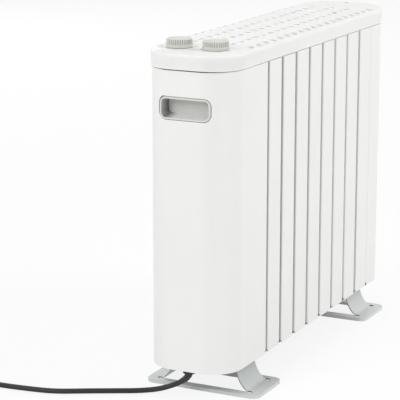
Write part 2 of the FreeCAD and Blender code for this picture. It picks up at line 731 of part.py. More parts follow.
def foot_screw(x, y):
    seat = PAN_BOTTOM - FOOT_SHEET
    head = rod(SCREW_HEAD_RADIUS, (x, y, seat - SCREW_HEAD), Z_AXIS, SCREW_HEAD)
    head = head.cut(cross_recess(x, y, seat - SCREW_HEAD, SCREW_HEAD_RADIUS))
    return tidy(head.fuse(rod(FOOT_SCREW_RADIUS, (x, y, seat), Z_AXIS, PAN_TOP + FOOT_SCREW_TIP - seat)))


# Tubes, wires and the cord

def tube(path, start, direction, radius):
    profile = Part.Wire(Part.makeCircle(radius, start, direction))
    return path.makePipeShell([profile], True, False)


def rounded_route(points, share):
    """Straight runs joined by tangent arcs. Returns the path and the least arc radius."""
    spots = [vec(p) for p in points]
    edges = []
    radii = []
    at = spots[0]
    for before, corner, after in zip(spots, spots[1:], spots[2:]):
        back = before - corner
        ahead = after - corner
        shorter = min(back.Length, ahead.Length)
        turn = math.pi - back.getAngle(ahead)
        reach = share * shorter
        radius = reach / math.tan(turn / 2)
        back.normalize()
        ahead.normalize()
        arc_start = corner + back * reach
        arc_end = corner + ahead * reach
        middle = back + ahead
        middle.normalize()
        arc_middle = corner + middle * (radius / math.cos(turn / 2) - radius)
        edges.append(Part.LineSegment(at, arc_start).toShape())
        edges.append(Part.Arc(arc_start, arc_middle, arc_end).toShape())
        radii.append(radius)
        at = arc_end
    edges.append(Part.LineSegment(at, spots[-1]).toShape())
    return Part.Wire(edges), radii


def print_volume(name, solid, path, radius):
    ratio = solid.Volume / (math.pi * radius ** 2 * path.Length)
    print(name, "length", round(path.Length, 1), "volume ratio", round(ratio, 4))


def routed_tube(name, points, share, radius):
    path, radii = rounded_route(points, share)
    first = vec(points[0])
    solid = tube(path, first, vec(points[1]) - first, radius)
    print(name, "radii", [round(r, 1) for r in radii])
    print_volume(name, solid, path, radius)
    return solid


def arc_between(a, tangent, b):
    """Arc from a to b that leaves a along a tangent."""
    chord = b - a
    half = chord.Length / 2
    chord.normalize()
    lean = tangent - chord * tangent.dot(chord)
    if lean.Length < TINY:
        return Part.LineSegment(a, b).toShape()
    angle = tangent.getAngle(chord)
    lean.normalize()
    middle = (a + b) * 0.5 + lean * (half * math.tan(angle / 2))
    return Part.Arc(a, middle, b).toShape()


def biarc(a, tangent_a, b, tangent_b):
    """Two arcs that join two points with given directions."""
    span = b - a
    both = tangent_a + tangent_b
    spread = 2 * (1 - tangent_a.dot(tangent_b))
    along = span.dot(both)
    if spread < TINY ** 2:
        reach = span.dot(span) / (2 * along)
    else:
        reach = (math.sqrt(along ** 2 + spread * span.dot(span)) - along) / spread
    joint = (a + tangent_a * reach + b - tangent_b * reach) * 0.5
    first = arc_between(a, tangent_a, joint)
    last = arc_between(b, tangent_b * -1, joint)
    ends = [v.Point for v in last.Vertexes]
    middle = last.valueAt((last.FirstParameter + last.LastParameter) / 2)
    if ends[0].sub(joint).Length + ends[-1].sub(b).Length > TINY:
        last = Part.Arc(joint, middle, b).toShape()
    return [first, last]


def coil_radius(turns):
    """Radius of the spiral after some turns, eased where it reverses."""
    reverse = COIL_TURNS_IN + COIL_TURNS_CLIMB / 2
    inner = COIL_RADIUS - COIL_STEP * reverse
    ease = COIL_TURNS_CLIMB / 2
    away = abs(turns - reverse)
    if away < ease:
        return inner + COIL_STEP * (away ** 2 + ease ** 2) / (2 * ease)
    return inner + COIL_STEP * away


def coil_point(turns):
    """Centre of the coiled cord after some turns."""
    radius = coil_radius(turns)
    climbed = min(max((turns - COIL_TURNS_IN) / COIL_TURNS_CLIMB, 0), 1)
    z = CORD_Z + COIL_LAYER * climbed ** 2 * (3 - 2 * climbed)
    angle = 2 * math.pi * turns
    return FreeCAD.Vector(COIL_X + radius * math.cos(angle), COIL_Y + radius * math.sin(angle), z)


def coil_heading(turns):
    heading = coil_point(turns + TINY) - coil_point(turns - TINY)
    heading.normalize()
    return heading


def coil_turns():
    return COIL_TURNS_IN + COIL_TURNS_CLIMB + COIL_TURNS_OUT


def plug_rear():
    end = coil_point(coil_turns())
    return FreeCAD.Vector(end.x - PLUG_REACH, end.y, PLUG_Z)


def coil_path():
    start = vec(CORD_ROUTE[-1])
    lead = start + Y_AXIS * CORD_DIAMETER
    edges = [Part.LineSegment(start, lead).toShape()]
    stations = [COIL_STATION * i for i in range(1, int(coil_turns() / COIL_STATION) + 1)]
    at = lead
    heading = Y_AXIS
    for turns in stations:
        last = turns == stations[-1]
        to = coil_point(turns)
        to_heading = X_AXIS * -1 if last else coil_heading(turns)
        edges.extend(biarc(at, heading, to, to_heading))
        at = to
        heading = to_heading
    tail = plug_rear() + X_AXIS * CORD_DIAMETER
    edges.extend(biarc(at, heading, tail, heading))
    edges.append(Part.LineSegment(tail, plug_rear()).toShape())
    return Part.Wire(edges)


def coil_gap(path):
    """Least gap between stretches of the coil that aren't neighbours along it."""
    points = path.discretize(Distance=GAP_SAMPLE)
    apart = int(4 * CORD_DIAMETER / GAP_SAMPLE)
    least = min((a - b).Length for i, a in enumerate(points) for b in points[i + apart:])
    return least - CORD_DIAMETER


def cord_coil():
    path = coil_path()
    solid = tube(path, vec(CORD_ROUTE[-1]), Y_AXIS, CORD_RADIUS)
    print_volume("coil", solid, path, CORD_RADIUS)
    print("coil gap to itself", round(coil_gap(path), 2))
    return solid


def cord_tie():
    """Flat strap around the coil's turns, on the side away from the body."""
    inner = coil_radius(COIL_TURNS_IN + 0.5) - CORD_RADIUS
    outer = coil_radius(0.5) + CORD_RADIUS
    x0 = COIL_X - outer
    x1 = COIL_X - inner
    y0 = COIL_Y - TIE_WIDTH / 2
    y1 = COIL_Y + TIE_WIDTH / 2
    z0 = CORD_Z - CORD_RADIUS
    z1 = CORD_Z + COIL_LAYER + CORD_RADIUS
    loop = box(x0 - TIE_SHEET, x1 + TIE_SHEET, y0, y1, z0 - TIE_SHEET, z1 + TIE_SHEET)
    return loop.cut(box(x0, x1, y0, y1, z0, z1))


def round_edges(shape):
    return [edge for edge in shape.Edges if edge.isClosed()]


def plug():
    """Plug with a grooved grip that widens to a rounded disc."""
    rear = plug_rear()
    forward = X_AXIS * -1
    grip = Part.makeCone(PLUG_ENTRY_RADIUS, PLUG_GRIP_RADIUS, PLUG_GRIP, rear, forward)
    grooves = []
    for i in range(PLUG_GROOVES):
        share = (i + 1) / (PLUG_GROOVES + 1)
        radius = PLUG_ENTRY_RADIUS + (PLUG_GRIP_RADIUS - PLUG_ENTRY_RADIUS) * share - PLUG_GROOVE
        start = rear + forward * (PLUG_GRIP * share)
        outer = Part.makeCylinder(PLUG_RADIUS, PLUG_GROOVE_WIDTH, start, forward)
        grooves.append(outer.cut(Part.makeCylinder(radius, PLUG_GROOVE_WIDTH, start, forward)))
    disc = Part.makeCylinder(PLUG_RADIUS, PLUG_DISC, rear + forward * PLUG_GRIP, forward)
    disc = disc.makeFillet(PLUG_EDGE, round_edges(disc))
    return tidy(grip.cut(Part.makeCompound(grooves)).fuse(disc))


def plug_pins():
    face = plug_rear() - X_AXIS * (PLUG_GRIP + PLUG_DISC)
    pins = []
    for side in (-1, 1):
        start = face + Y_AXIS * (side * PIN_SPACING / 2)
        pin = Part.makeCylinder(PIN_RADIUS, PIN_LENGTH, start, X_AXIS * -1)
        tip = min(round_edges(pin), key=lambda edge: edge.CenterOfMass.x)
        pins.append(pin.makeFillet(PIN_TIP, [tip]))
    return pins


def cord_gland():
    flange = rod(GLAND_FLANGE_RADIUS, (GLAND_X, 0, GLAND_BOTTOM), Z_AXIS, BODY_BOTTOM - GLAND_BOTTOM)
    seat = rod(GLAND_SEAT_RADIUS, (GLAND_X, 0, BODY_BOTTOM), Z_AXIS, PAN_BOTTOM - BODY_BOTTOM)
    neck = rod(GLAND_NECK_RADIUS, (GLAND_X, 0, PAN_BOTTOM), Z_AXIS, PLATE)
    collar = rod(GLAND_RADIUS, (GLAND_X, 0, PAN_TOP), Z_AXIS, GLAND_TOP - PAN_TOP)
    bore = rod(CORD_RADIUS, (GLAND_X, 0, GLAND_BOTTOM), Z_AXIS, GLAND_TOP - GLAND_BOTTOM)
    return tidy(flange.multiFuse([seat, neck, collar]).cut(bore))


def cord_lead():
    return rod(CORD_RADIUS, (GLAND_X, 0, GLAND_BOTTOM), Z_AXIS, LEAD_TOP - GLAND_BOTTOM)


def inner_box(size, x, y):
    """Case standing on the near pan."""
    dx, dy, dz = size
    return box(x - dx / 2, x + dx / 2, y - dy / 2, y + dy / 2, PAN_TOP, PAN_TOP + dz)


def thermal_cutout():
    face = -BULKHEAD_X - PLATE / 2
    return rod(CUTOUT_RADIUS, (face - CUTOUT_DEPTH, 0, CUTOUT_Z), X_AXIS, CUTOUT_DEPTH)


def lead_wires():
    """Conductors from the end of the cord's lead over to the terminal block."""
    solids = []
    block_top = PAN_TOP + BLOCK_SIZE[2]
    for i in range(CORE_COUNT):
        angle = math.pi / 2 + 2 * math.pi * i / CORE_COUNT
        x = GLAND_X + CORE_SPREAD * math.sin(angle)
        y = CORE_SPREAD * math.cos(angle)
        end_x = BLOCK_X - BLOCK_SIZE[0] / 4
        end_y = y * LEAD_FAN
        level = block_top + LEAD_RISE
        route = ((x, y, LEAD_TOP), (x, y, level), (end_x, end_y, level), (end_x, end_y, block_top))
        solids.append(routed_tube("lead wire", route, ROUTE_SHARE, WIRE_RADIUS))
    return solids


def wires():
    """Loom from the terminal block to the controls, the elements and the thermal cut-out."""
    solids = lead_wires()
    block_top = PAN_TOP + BLOCK_SIZE[2]
    control_bottom = SHELF_BOTTOM - CONTROL_DEPTH
    tip_x = ELEMENT_START_X - TERMINAL
    low, low_back, high, high_back = element_levels()
    for side, y, level in ((-1, SELECTOR_Y, low_back), (1, THERMOSTAT_Y, high)):
        feed_x = KNOB_X + CONTROL_SIZE / 2 - 2 * WIRE_RADIUS
        feed_y = side * FEED_Y
        feed = [(BLOCK_X, feed_y, block_top), (BLOCK_X, feed_y, low_back)]
        feed += [(feed_x, y, high), (feed_x, y, control_bottom)]
        solids.append(routed_tube("feed wire", feed, ROUTE_SHARE, WIRE_RADIUS))
        load_x = KNOB_X + CONTROL_SIZE / 4
        load_y = y - side * LOAD_INSET
        load = [(tip_x, 0, level), (load_x, 0, level)]
        load += [(load_x, load_y, CUTOUT_Z), (load_x, load_y, control_bottom)]
        solids.append(routed_tube("load wire", load, ROUTE_SHARE, WIRE_RADIUS))
    to_block = ((tip_x, 0, low), (BLOCK_X, 0, low), (BLOCK_X, 0, block_top))
    solids.append(routed_tube("return wire", to_block, ROUTE_SHARE, WIRE_RADIUS))
    cutout_x = -BULKHEAD_X - PLATE / 2 - CUTOUT_DEPTH
    to_cutout = [(tip_x, 0, high_back), (BLOCK_X, 0, high_back)]
    to_cutout += [(BLOCK_X, 0, CUTOUT_Z), (cutout_x, 0, CUTOUT_Z)]
    solids.append(routed_tube("cut-out wire", to_cutout, ROUTE_SHARE, WIRE_RADIUS))
    return solids


def main():
    os.makedirs("parts", exist_ok=True)
    cup = handle_cup()
    export("end_cover_near", [end_cover()])
    export("end_cover_far", [far_cover()])
    export("handle_cup_near", [cup])
    export("handle_cup_far", [mirrored(cup)])
    for i in range(FIN_COUNT):
        export("fin_%d" % (i + 1), [fin((i - (FIN_COUNT - 1) / 2) * FIN_PITCH)])
    export("slit_strips", slit_strips())
    export("bulkhead_near", [near_bulkhead()])
    export("bulkhead_far", [mirrored(bulkhead())])
    export("rails", [rail(y, z) for y, z in rail_spots()])
    export("rail_screws", at_both_ends([rail_screw(y, z) for y, z in rail_spots()]))
    export("base_pan_near", [base_pan(True)])
    export("base_pan_far", [mirrored(base_pan(False))])
    export("control_shelf", [shelf(True)])
    export("far_shelf", [far_shelf()])
    export("cap_strap", [cap_strap()])
    export("element_low", [element(ELEMENT_LOW_Z)])
    export("element_high", [element(ELEMENT_LOW_Z + ELEMENT_STEP)])
    export("element_bushings", [element_bushing(z) for z in element_levels()])
    export("element_terminals", [element_terminal(z) for z in element_levels()])
    export("top_cap", [top_cap()])
    export("cap_screws", [cap_screw(*spot) for spot in CAP_SCREW_SPOTS])
    export("thermostat", [control_body(THERMOSTAT_Y, CONTROL_SIZE)])
    export("thermostat_shaft", [shaft(THERMOSTAT_Y)])
    export("thermostat_knob", [knob(THERMOSTAT_Y)])
    export("selector_switch", [control_body(SELECTOR_Y, CONTROL_SIZE)])
    export("selector_shaft", [shaft(SELECTOR_Y)])
    export("selector_knob", [knob(SELECTOR_Y)])
    export("thermal_cutout", [thermal_cutout()])
    export("tilt_switch", [inner_box(TILT_SIZE, *TILT_SPOT)])
    export("terminal_block", [inner_box(BLOCK_SIZE, BLOCK_X, 0)])
    export("wires", wires())
    export("foot_near", [foot(-FOOT_X)])
    export("foot_far", [foot(FOOT_X)])
    export("foot_screws", at_both_ends([foot_screw(x - FOOT_X, y) for x, y in foot_screw_spots()]))
    export("cord_gland", [cord_gland()])
    export("cord_lead", [cord_lead()])
    export("cord_free", [routed_tube("cord", CORD_ROUTE, ROUTE_SHARE, CORD_RADIUS)])
    export("cord_coil", [cord_coil()])
    export("cord_tie", [cord_tie()])
    export("plug", [plug()])
    export("plug_pins", plug_pins())


main()
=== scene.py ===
import itertools
import json
import math

import bmesh
import bpy
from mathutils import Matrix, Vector


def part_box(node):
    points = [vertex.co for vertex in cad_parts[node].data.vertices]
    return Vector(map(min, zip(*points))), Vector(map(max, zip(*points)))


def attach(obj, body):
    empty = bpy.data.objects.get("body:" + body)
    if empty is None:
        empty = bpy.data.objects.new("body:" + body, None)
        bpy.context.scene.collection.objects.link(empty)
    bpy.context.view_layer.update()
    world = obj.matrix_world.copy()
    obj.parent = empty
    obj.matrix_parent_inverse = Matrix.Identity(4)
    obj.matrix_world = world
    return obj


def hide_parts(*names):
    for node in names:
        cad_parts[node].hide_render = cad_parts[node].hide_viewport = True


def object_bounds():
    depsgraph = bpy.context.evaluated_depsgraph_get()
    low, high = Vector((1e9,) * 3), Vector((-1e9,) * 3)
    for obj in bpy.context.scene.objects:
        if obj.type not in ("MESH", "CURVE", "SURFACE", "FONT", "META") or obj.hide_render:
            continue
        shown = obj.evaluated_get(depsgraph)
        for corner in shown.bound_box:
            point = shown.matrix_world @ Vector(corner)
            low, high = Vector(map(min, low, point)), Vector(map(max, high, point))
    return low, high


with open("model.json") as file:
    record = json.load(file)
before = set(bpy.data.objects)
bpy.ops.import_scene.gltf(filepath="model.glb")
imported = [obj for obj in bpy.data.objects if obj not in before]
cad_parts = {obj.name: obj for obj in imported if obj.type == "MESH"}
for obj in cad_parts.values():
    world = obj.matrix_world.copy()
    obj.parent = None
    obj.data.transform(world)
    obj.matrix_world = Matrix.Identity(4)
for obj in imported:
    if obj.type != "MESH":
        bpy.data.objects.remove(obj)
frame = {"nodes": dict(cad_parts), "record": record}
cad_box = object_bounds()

# Oil-free radiator. Metres, +Z up, floor at zero. The control end with the knobs and the cord is at -X.

BODY = "heater"
ALONG_X = Vector((1, 0, 0))
ALONG_Y = Vector((0, 1, 0))
ALONG_Z = Vector((0, 0, 1))
ROUND_STEPS = 48
EDGE_STEPS = 6
SMOOTH_ANGLE = math.radians(35)

# Camera, with its lens and sensor in millimetres
CAMERA_SPOT = (-2.2465, -1.0070, 0.7957)
CAMERA_AZIMUTH = math.radians(-63.445)
CAMERA_ELEVATION = math.radians(13.416)
CAMERA_LENS = 162.22
CAMERA_SENSOR = 36.0
CAMERA_NEAR = 0.05
CAMERA_FAR = 100.0

# Floor, background and lamps, each lamp with its place and its power in watts
FLOOR_REACH = 20.0
FLOOR_WHITE = (0.92, 0.92, 0.92)
FLOOR_GLOW = 0.85
BACKGROUND_GLOW = 1.0
WORLD_STRENGTH = 0.56
LAMP_SIZE = 1.6
LAMPS = {
    "key": ((-3.0, 0.75, 2.0), 40.0),
    "side": ((0.9, -2.9, 2.4), 49.0),
    "top": ((0.0, 0.0, 3.4), 4.0),
    "back": ((2.4, 2.6, 1.6), 26.0),
}

# Cord, whose route keeps close to the part's own cord
CORD_RADIUS = 0.0035
CORD_DIAMETER = 2 * CORD_RADIUS
CORD_Z = 0.00405
GLAND_X = -0.262
GLAND_BOTTOM = 0.0345
CORD_ROUTE = (
    (GLAND_X, 0.0, GLAND_BOTTOM),
    (GLAND_X, 0.002, 0.0290),
    (-0.2590, 0.0095, 0.0220),
    (-0.2575, 0.0205, 0.0148),
    (-0.2595, 0.0315, 0.0100),
    (-0.2655, 0.0450, 0.0058),
    (-0.2770, 0.0660, CORD_Z),
    (-0.290, 0.091, CORD_Z),
    (-0.3095, 0.1288, CORD_Z),
    (-0.3295, 0.1645, CORD_Z),
    (-0.3355, 0.2010, CORD_Z),
    (-0.3400, 0.2460, CORD_Z),
    (-0.3360, 0.2820, CORD_Z),
)
CORD_STEPS = 8
CORD_ROUNDNESS = 6

# Coil: turns inwards on the floor, a climb, and turns outwards on top, then the cord leads to the plug
COIL_RADIUS = 0.047
COIL_GAP = 0.0006
COIL_LAYER_GAP = 0.0005
COIL_STEP = CORD_DIAMETER + COIL_GAP
COIL_LAYER = CORD_DIAMETER + COIL_LAYER_GAP
COIL_TURNS_IN = 2.0
COIL_TURNS_CLIMB = 0.5
COIL_TURNS = 4.25
COIL_POINTS = 16
COIL_X = CORD_ROUTE[-1][0] - COIL_RADIUS
COIL_Y = CORD_ROUTE[-1][1] + CORD_DIAMETER
COIL_LEAVE = 0.2
PLUG_LEVEL = 0.55

# Strain relief, a grooved sleeve on the first stretch of the cord
SLEEVE_LENGTH = 0.022
SLEEVE_RADIUS = 0.0050
SLEEVE_TIP_RADIUS = 0.0040
SLEEVE_GROOVES = 5
SLEEVE_GROOVE = 0.0004

# Plug and its pins
PLUG_GRIP = 0.026
PLUG_ENTRY_RADIUS = 0.0065
PLUG_GRIP_RADIUS = 0.0133
PLUG_EDGE = 0.0030
GRIP_STEPS = 60
GRIP_GROOVES = 5
GRIP_GROOVE = 0.0009
PIN_RADIUS = 0.0024
PIN_TIP = 0.0012

# Tie around the coil
TIE_CORNER = 0.0030
TIE_SHEET = 0.0005
TIE_RIDGES = 9
TIE_RIDGE = 0.00012
TIE_RIDGE_STEPS = 4

# Dial marks, placed from the middle of their knob
MARK_RADIUS = 0.0013
MARK_THICKNESS = 0.00005
MARK_TOP = 0.8
MARK_SPOTS = {
    "thermostat_knob": ((-0.0014, 0.0239), (0.0102, -0.0183)),
    "selector_knob": ((-0.0093, 0.0159),),
}

# Screws: radius and height of the head, radius and length of the shank, the rest as shares of the head
CAP_SCREW_SPOTS = ((0.144, -0.028), (0.258, 0.0))
CAP_SCREW_HEAD = (0.00345, 0.0024)
CAP_SCREW_SHANK = (0.0017, 0.020)
CAP_SCREW_RECESS = 0.004
FOOT_X = 0.190
FOOT_SCREW_X = 0.014
FOOT_SCREW_Y = 0.03503
FOOT_SCREW_HEAD = (0.0045, 0.003)
FOOT_SCREW_SHANK = (0.0025, 0.009)
FOOT_SCREW_SEAT = 0.0397
FOOT_SCREW_TURN = math.radians(17)
HEAD_STEPS = 7
HEAD_STRAIGHT = 0.45
HEAD_FLAT = 0.72
CROSS_WIDTH = 0.32
CROSS_REACH = 0.62
CROSS_DEPTH = 0.55
CROSS_TAPER = 0.8

# Finishes: darker tone, lighter tone, least and most roughness, scale of the grain, depth of the grain
WHITE_STEEL = ((0.825, 0.832, 0.815), (0.850, 0.856, 0.840), (0.36, 0.46), 900, 0.00002)
CAP_PLASTIC = ((0.812, 0.819, 0.804), (0.838, 0.844, 0.828), (0.40, 0.52), 1600, 0.00002)
KNOB_PLASTIC = ((0.62, 0.62, 0.58), (0.66, 0.66, 0.62), (0.38, 0.50), 1400, 0.00002)
CUP_PLASTIC = ((0.60, 0.605, 0.58), (0.64, 0.645, 0.62), (0.38, 0.50), 1400, 0.00002)
FOOT_STEEL = ((0.49, 0.505, 0.495), (0.53, 0.545, 0.535), (0.34, 0.46), 1100, 0.00002)
PLATED_STEEL = ((0.56, 0.57, 0.58), (0.68, 0.69, 0.70), (0.28, 0.42), 400, 0.00001)
RAIL_ALUMINIUM = ((0.66, 0.67, 0.68), (0.76, 0.77, 0.78), (0.25, 0.40), 500, 0.00001)
SCREW_STEEL = ((0.48, 0.48, 0.49), (0.60, 0.60, 0.61), (0.25, 0.40), 900, 0.00001)
ELEMENT_STEEL = ((0.20, 0.18, 0.16), (0.36, 0.33, 0.30), (0.40, 0.55), 700, 0.00001)
CERAMIC = ((0.74, 0.71, 0.65), (0.82, 0.79, 0.73), (0.15, 0.30), 700, 0.00001)
BRASS = ((0.62, 0.46, 0.20), (0.74, 0.58, 0.30), (0.20, 0.35), 900, 0.00001)
CONTROL_PLASTIC = ((0.020, 0.020, 0.022), (0.035, 0.035, 0.038), (0.40, 0.55), 1400, 0.00002)
WIRE_INSULATION = ((0.35, 0.05, 0.04), (0.45, 0.08, 0.06), (0.45, 0.60), 900, 0.00002)
BLACK_RUBBER = ((0.013, 0.015, 0.014), (0.023, 0.025, 0.024), (0.42, 0.58), 1800, 0.00003)
TIE_FABRIC = ((0.012, 0.012, 0.013), (0.030, 0.030, 0.032), (0.75, 0.95), 2600, 0.0002)
MARK_INK = ((0.10, 0.10, 0.10), (0.14, 0.14, 0.14), (0.50, 0.60), 2000, 0.00001)
CLOUD_SCALE = 9.0
CLOUD_DETAIL = 3
GRAIN_DETAIL = 2
NOISE_SPAN = (0.3, 0.7)
EVEN = (1, 1, 1)
DRAWN_ALONG_X = (0.05, 1, 1)
RUBBER_SHINE = 0.38
FACING = 0.5

# Painted shade on the folds in the slits, greyest near the control end
FOLD_SHADE_NEAR = (0.64, 0.65, 0.63)
FOLD_SHADE_FAR = (0.92, 0.925, 0.905)
FOLD_FACING = (0.35, 0.9)
FOLD_REACH = 0.163

# Joint under the cap at the control end, with painted shade across it and a painted lighter tone at the
# front corner
JOINT_GAP = 0.0013
JOINT_X = -0.1900
JOINT_FRONT = (-0.0450, -0.0280)
JOINT_BACK = (0.0420, 0.0300)
JOINT_CORNER = (-0.0430, -0.0500)
JOINT_SHADE = (0.22, 0.22, 0.21)
JOINT_LIGHT = (0.97, 0.97, 0.96)
COVER_EDGE = 0.0002

# Window in the cover around the cup, with painted shade on its cut edge and a painted shadow line on its
# +Y side, and painted shade at the foot of the far cover's seam
WINDOW_MARGIN = 0.0020
WINDOW_REACH = 0.0080
WINDOW_LINE = 0.0009
WINDOW_LINE_Y = (0.0270, 0.0310)
WINDOW_LINE_Z = (-0.0110, -0.0070)
SEAM_X = 0.2025
SEAM_HALF = 0.0023
SEAM_FOOT = 0.0042
SEAM_SIDE = 0.0500
SEAM_SHADE = (0.06, 0.06, 0.06)

# Cap, with painted light in the slots and round the knobs and painted shade on its sides and in the screw
# recesses
CAP_SIDE_SHADE = (0.93, 0.935, 0.92)
CAP_SIDE_SHADE_SHARE = 0.35
CAP_GLOW = 0.8
CAP_GLOW_REACH = 0.004
CAP_ROOF = 0.0045
SLOT_WALL_LIGHT = (0.94, 0.945, 0.93)
SLOT_BACK_LIGHT = (0.99, 0.99, 0.98)
SLOT_BACK_Y = (-0.0350, -0.0150)
SLOT_END = 0.2240
SLOT_SIDE = 0.0610
RECESS_RADIUS = 0.0038
RECESS_SHADES = ((0.03, 0.03, 0.03), (0.45, 0.45, 0.44))
KNOB_SEAT_LIGHT = (0.97, 0.97, 0.96)

# Knobs
KNOB_SIDE = (0.72, 0.72, 0.68)
KNOB_BAND = 0.0042
GROOVE_SHADE = (0.40, 0.40, 0.35)
RIB_TIP_RADIUS = 0.0167
RIB_ROOT_RADIUS = 0.0156
POINTER_START = 0.0060
POINTER_END = 0.0145
POINTER_HALF = 0.0007
POINTER_GREY = (0.22, 0.22, 0.20)

# Handle cups, with painted light on the rim and floor and painted shade on the walls, in a corner of the
# floor and in the gap
RIM_WIDTH = 0.0710
RIM_HEIGHT = 0.0285
RIM_CORNER = 0.0090
RIM_MARGIN = 0.0002
RIM_GAP = 0.0008
RIM_DEPTH = 0.006
RIM_FACING = 0.8
RIM_LIGHT = (0.68, 0.685, 0.67)
CUP_DEPTH = 0.020
CUP_SHADE = (0.12, 0.12, 0.115)
CUP_WALL_FACING = (0.4, 0.8)
CUP_FLOOR_LIGHT = (0.84, 0.845, 0.83)
CUP_FLOOR_FACING = (0.5, 0.9)
CUP_CORNER_SHADOW = (0.22, 0.22, 0.21)
CUP_CORNER_Y = (0.016, 0.029)
GAP_SHADE = (0.12, 0.12, 0.115)
GAP_LIGHT = (0.70, 0.705, 0.69)
GAP_LIGHT_Y = 0.0260
GAP_LIGHT_Z = 0.0070

# Feet, with painted light on the pads and painted shade on the foot near the controls, on the arm edges
# and in the holes
PAD_LIGHT = (0.72, 0.735, 0.725)
PAD_TOP = 0.0040
PAD_FADE = 0.0300
NEAR_FOOT_SHADE = (0.30, 0.36, 0.33)
NEAR_FOOT_SHADE_SHARE = 0.20
ARM_EDGE_SHADE = (0.34, 0.35, 0.34)
ARM_EDGE_FACING = (0.6, 0.9)
ARM_FOOT = 0.0060
HOLE_X = 0.0285
HOLE_Y = 0.0660
HOLE_RADIUS = 0.0034
HOLE_SHADE = (0.15, 0.15, 0.15)

# Plated sheets inside, with painted shade on their edges next to the covers and slats
PLATED_EDGE_Y = 0.0535
PLATED_EDGE_SHADE = (0.26, 0.26, 0.26)


def middle_of(node):
    """Middle of a node's box at rest."""
    low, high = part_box(node)
    return (low + high) / 2


# Shader helpers

def empty_tree(owner):
    owner.use_nodes = True
    owner.node_tree.nodes.clear()
    return owner.node_tree


def object_place(tree, stretch):
    coords = tree.nodes.new("ShaderNodeTexCoord")
    mapping = tree.nodes.new("ShaderNodeMapping")
    mapping.inputs["Scale"].default_value = stretch
    tree.links.new(coords.outputs["Object"], mapping.inputs["Vector"])
    return mapping.outputs["Vector"]


def noise(tree, place, scale, detail):
    node = tree.nodes.new("ShaderNodeTexNoise")
    node.inputs["Scale"].default_value = scale
    node.inputs["Detail"].default_value = detail
    tree.links.new(place, node.inputs["Vector"])
    return node.outputs["Fac"]


def ramp(tree, value, start, full, low=0.0, high=1.0):
    """The low value at the start and the high value at the full one."""
    node = tree.nodes.new("ShaderNodeMapRange")
    node.inputs["From Min"].default_value = start
    node.inputs["From Max"].default_value = full
    node.inputs["To Min"].default_value = low
    node.inputs["To Max"].default_value = high
    tree.links.new(value, node.inputs["Value"])
    return node.outputs["Result"]


def two_tones(tree, value, dark, light):
    node = tree.nodes.new("ShaderNodeValToRGB")
    for stop, position, tone in zip(node.color_ramp.elements, NOISE_SPAN, (dark, light)):
        stop.position = position
        stop.color = (*tone, 1)
    tree.links.new(value, node.inputs["Fac"])
    return node.outputs["Color"]


def relief(tree, shader, height, depth):
    node = tree.nodes.new("ShaderNodeBump")
    node.inputs["Distance"].default_value = depth
    tree.links.new(height, node.inputs["Height"])
    tree.links.new(node.outputs["Normal"], shader.inputs["Normal"])


def finish_of(name, finish, stretch=EVEN):
    """Material whose colour drifts slowly and whose gloss and relief follow a fine grain."""
    dark, light, rough, grain, depth = finish
    material = bpy.data.materials.new(name)
    tree = empty_tree(material)
    output = tree.nodes.new("ShaderNodeOutputMaterial")
    shader = tree.nodes.new("ShaderNodeBsdfPrincipled")
    tree.links.new(shader.outputs["BSDF"], output.inputs["Surface"])
    place = object_place(tree, stretch)
    tone = two_tones(tree, noise(tree, place, CLOUD_SCALE, CLOUD_DETAIL), dark, light)
    tree.links.new(tone, shader.inputs["Base Color"])
    fine = noise(tree, place, grain, GRAIN_DETAIL)
    tree.links.new(ramp(tree, fine, *NOISE_SPAN, *rough), shader.inputs["Roughness"])
    relief(tree, shader, fine, depth)
    return material, shader


def metal_of(name, finish, stretch=EVEN):
    material, shader = finish_of(name, finish, stretch)
    shader.inputs["Metallic"].default_value = 1.0
    return material, shader


def calc(tree, operation, first, second=None):
    """One sum on values or on the outputs of other nodes."""
    node = tree.nodes.new("ShaderNodeMath")
    node.operation = operation
    for socket, value in zip(node.inputs, (first, second)):
        if isinstance(value, float):
            socket.default_value = value
        elif value is not None:
            tree.links.new(value, socket)
    return node.outputs[0]


def plus(tree, value, other):
    return calc(tree, "ADD", value, other)


def minus(tree, value, other):
    return calc(tree, "SUBTRACT", value, other)


def times(tree, value, other):
    return calc(tree, "MULTIPLY", value, other)


def size(tree, value):
    return calc(tree, "ABSOLUTE", value)


def above(tree, value, limit):
    return calc(tree, "GREATER_THAN", value, limit)


def below(tree, value, limit):
    return calc(tree, "LESS_THAN", value, limit)


def within(tree, value, middle, reach):
    """One where the value is nearer to the middle than the reach."""
    return below(tree, size(tree, minus(tree, value, middle)), reach)


def all_of(tree, *shares):
    """Share of the surface where several shares meet."""
    total = shares[0]
    for share in shares[1:]:
        total = times(tree, total, share)
    return total


def distance_of(tree, across, along):
    squares = [times(tree, side, side) for side in (across, along)]
    return calc(tree, "SQRT", plus(tree, *squares))


def axes(tree, vector):
    node = tree.nodes.new("ShaderNodeSeparateXYZ")
    tree.links.new(vector, node.inputs["Vector"])
    return node.outputs["X"], node.outputs["Y"], node.outputs["Z"]


def spot_of(tree):
    """Place on the object."""
    return axes(tree, object_place(tree, EVEN))


def facing_of(tree):
    """Size of the surface's direction along each axis."""
    geometry = tree.nodes.new("ShaderNodeNewGeometry")
    return [size(tree, part) for part in axes(tree, geometry.outputs["True Normal"])]


def tint(shader, share, colour):
    """Another colour over a share of the surface."""
    tree = shader.id_data
    coat = shader.inputs["Base Color"].links[0].from_socket
    mix = tree.nodes.new("ShaderNodeMix")
    mix.data_type = "RGBA"
    tree.links.new(share, mix.inputs["Factor"])
    tree.links.new(coat, mix.inputs["A"])
    mix.inputs["B"].default_value = (*colour, 1)
    tree.links.new(mix.outputs["Result"], shader.inputs["Base Color"])


# Materials

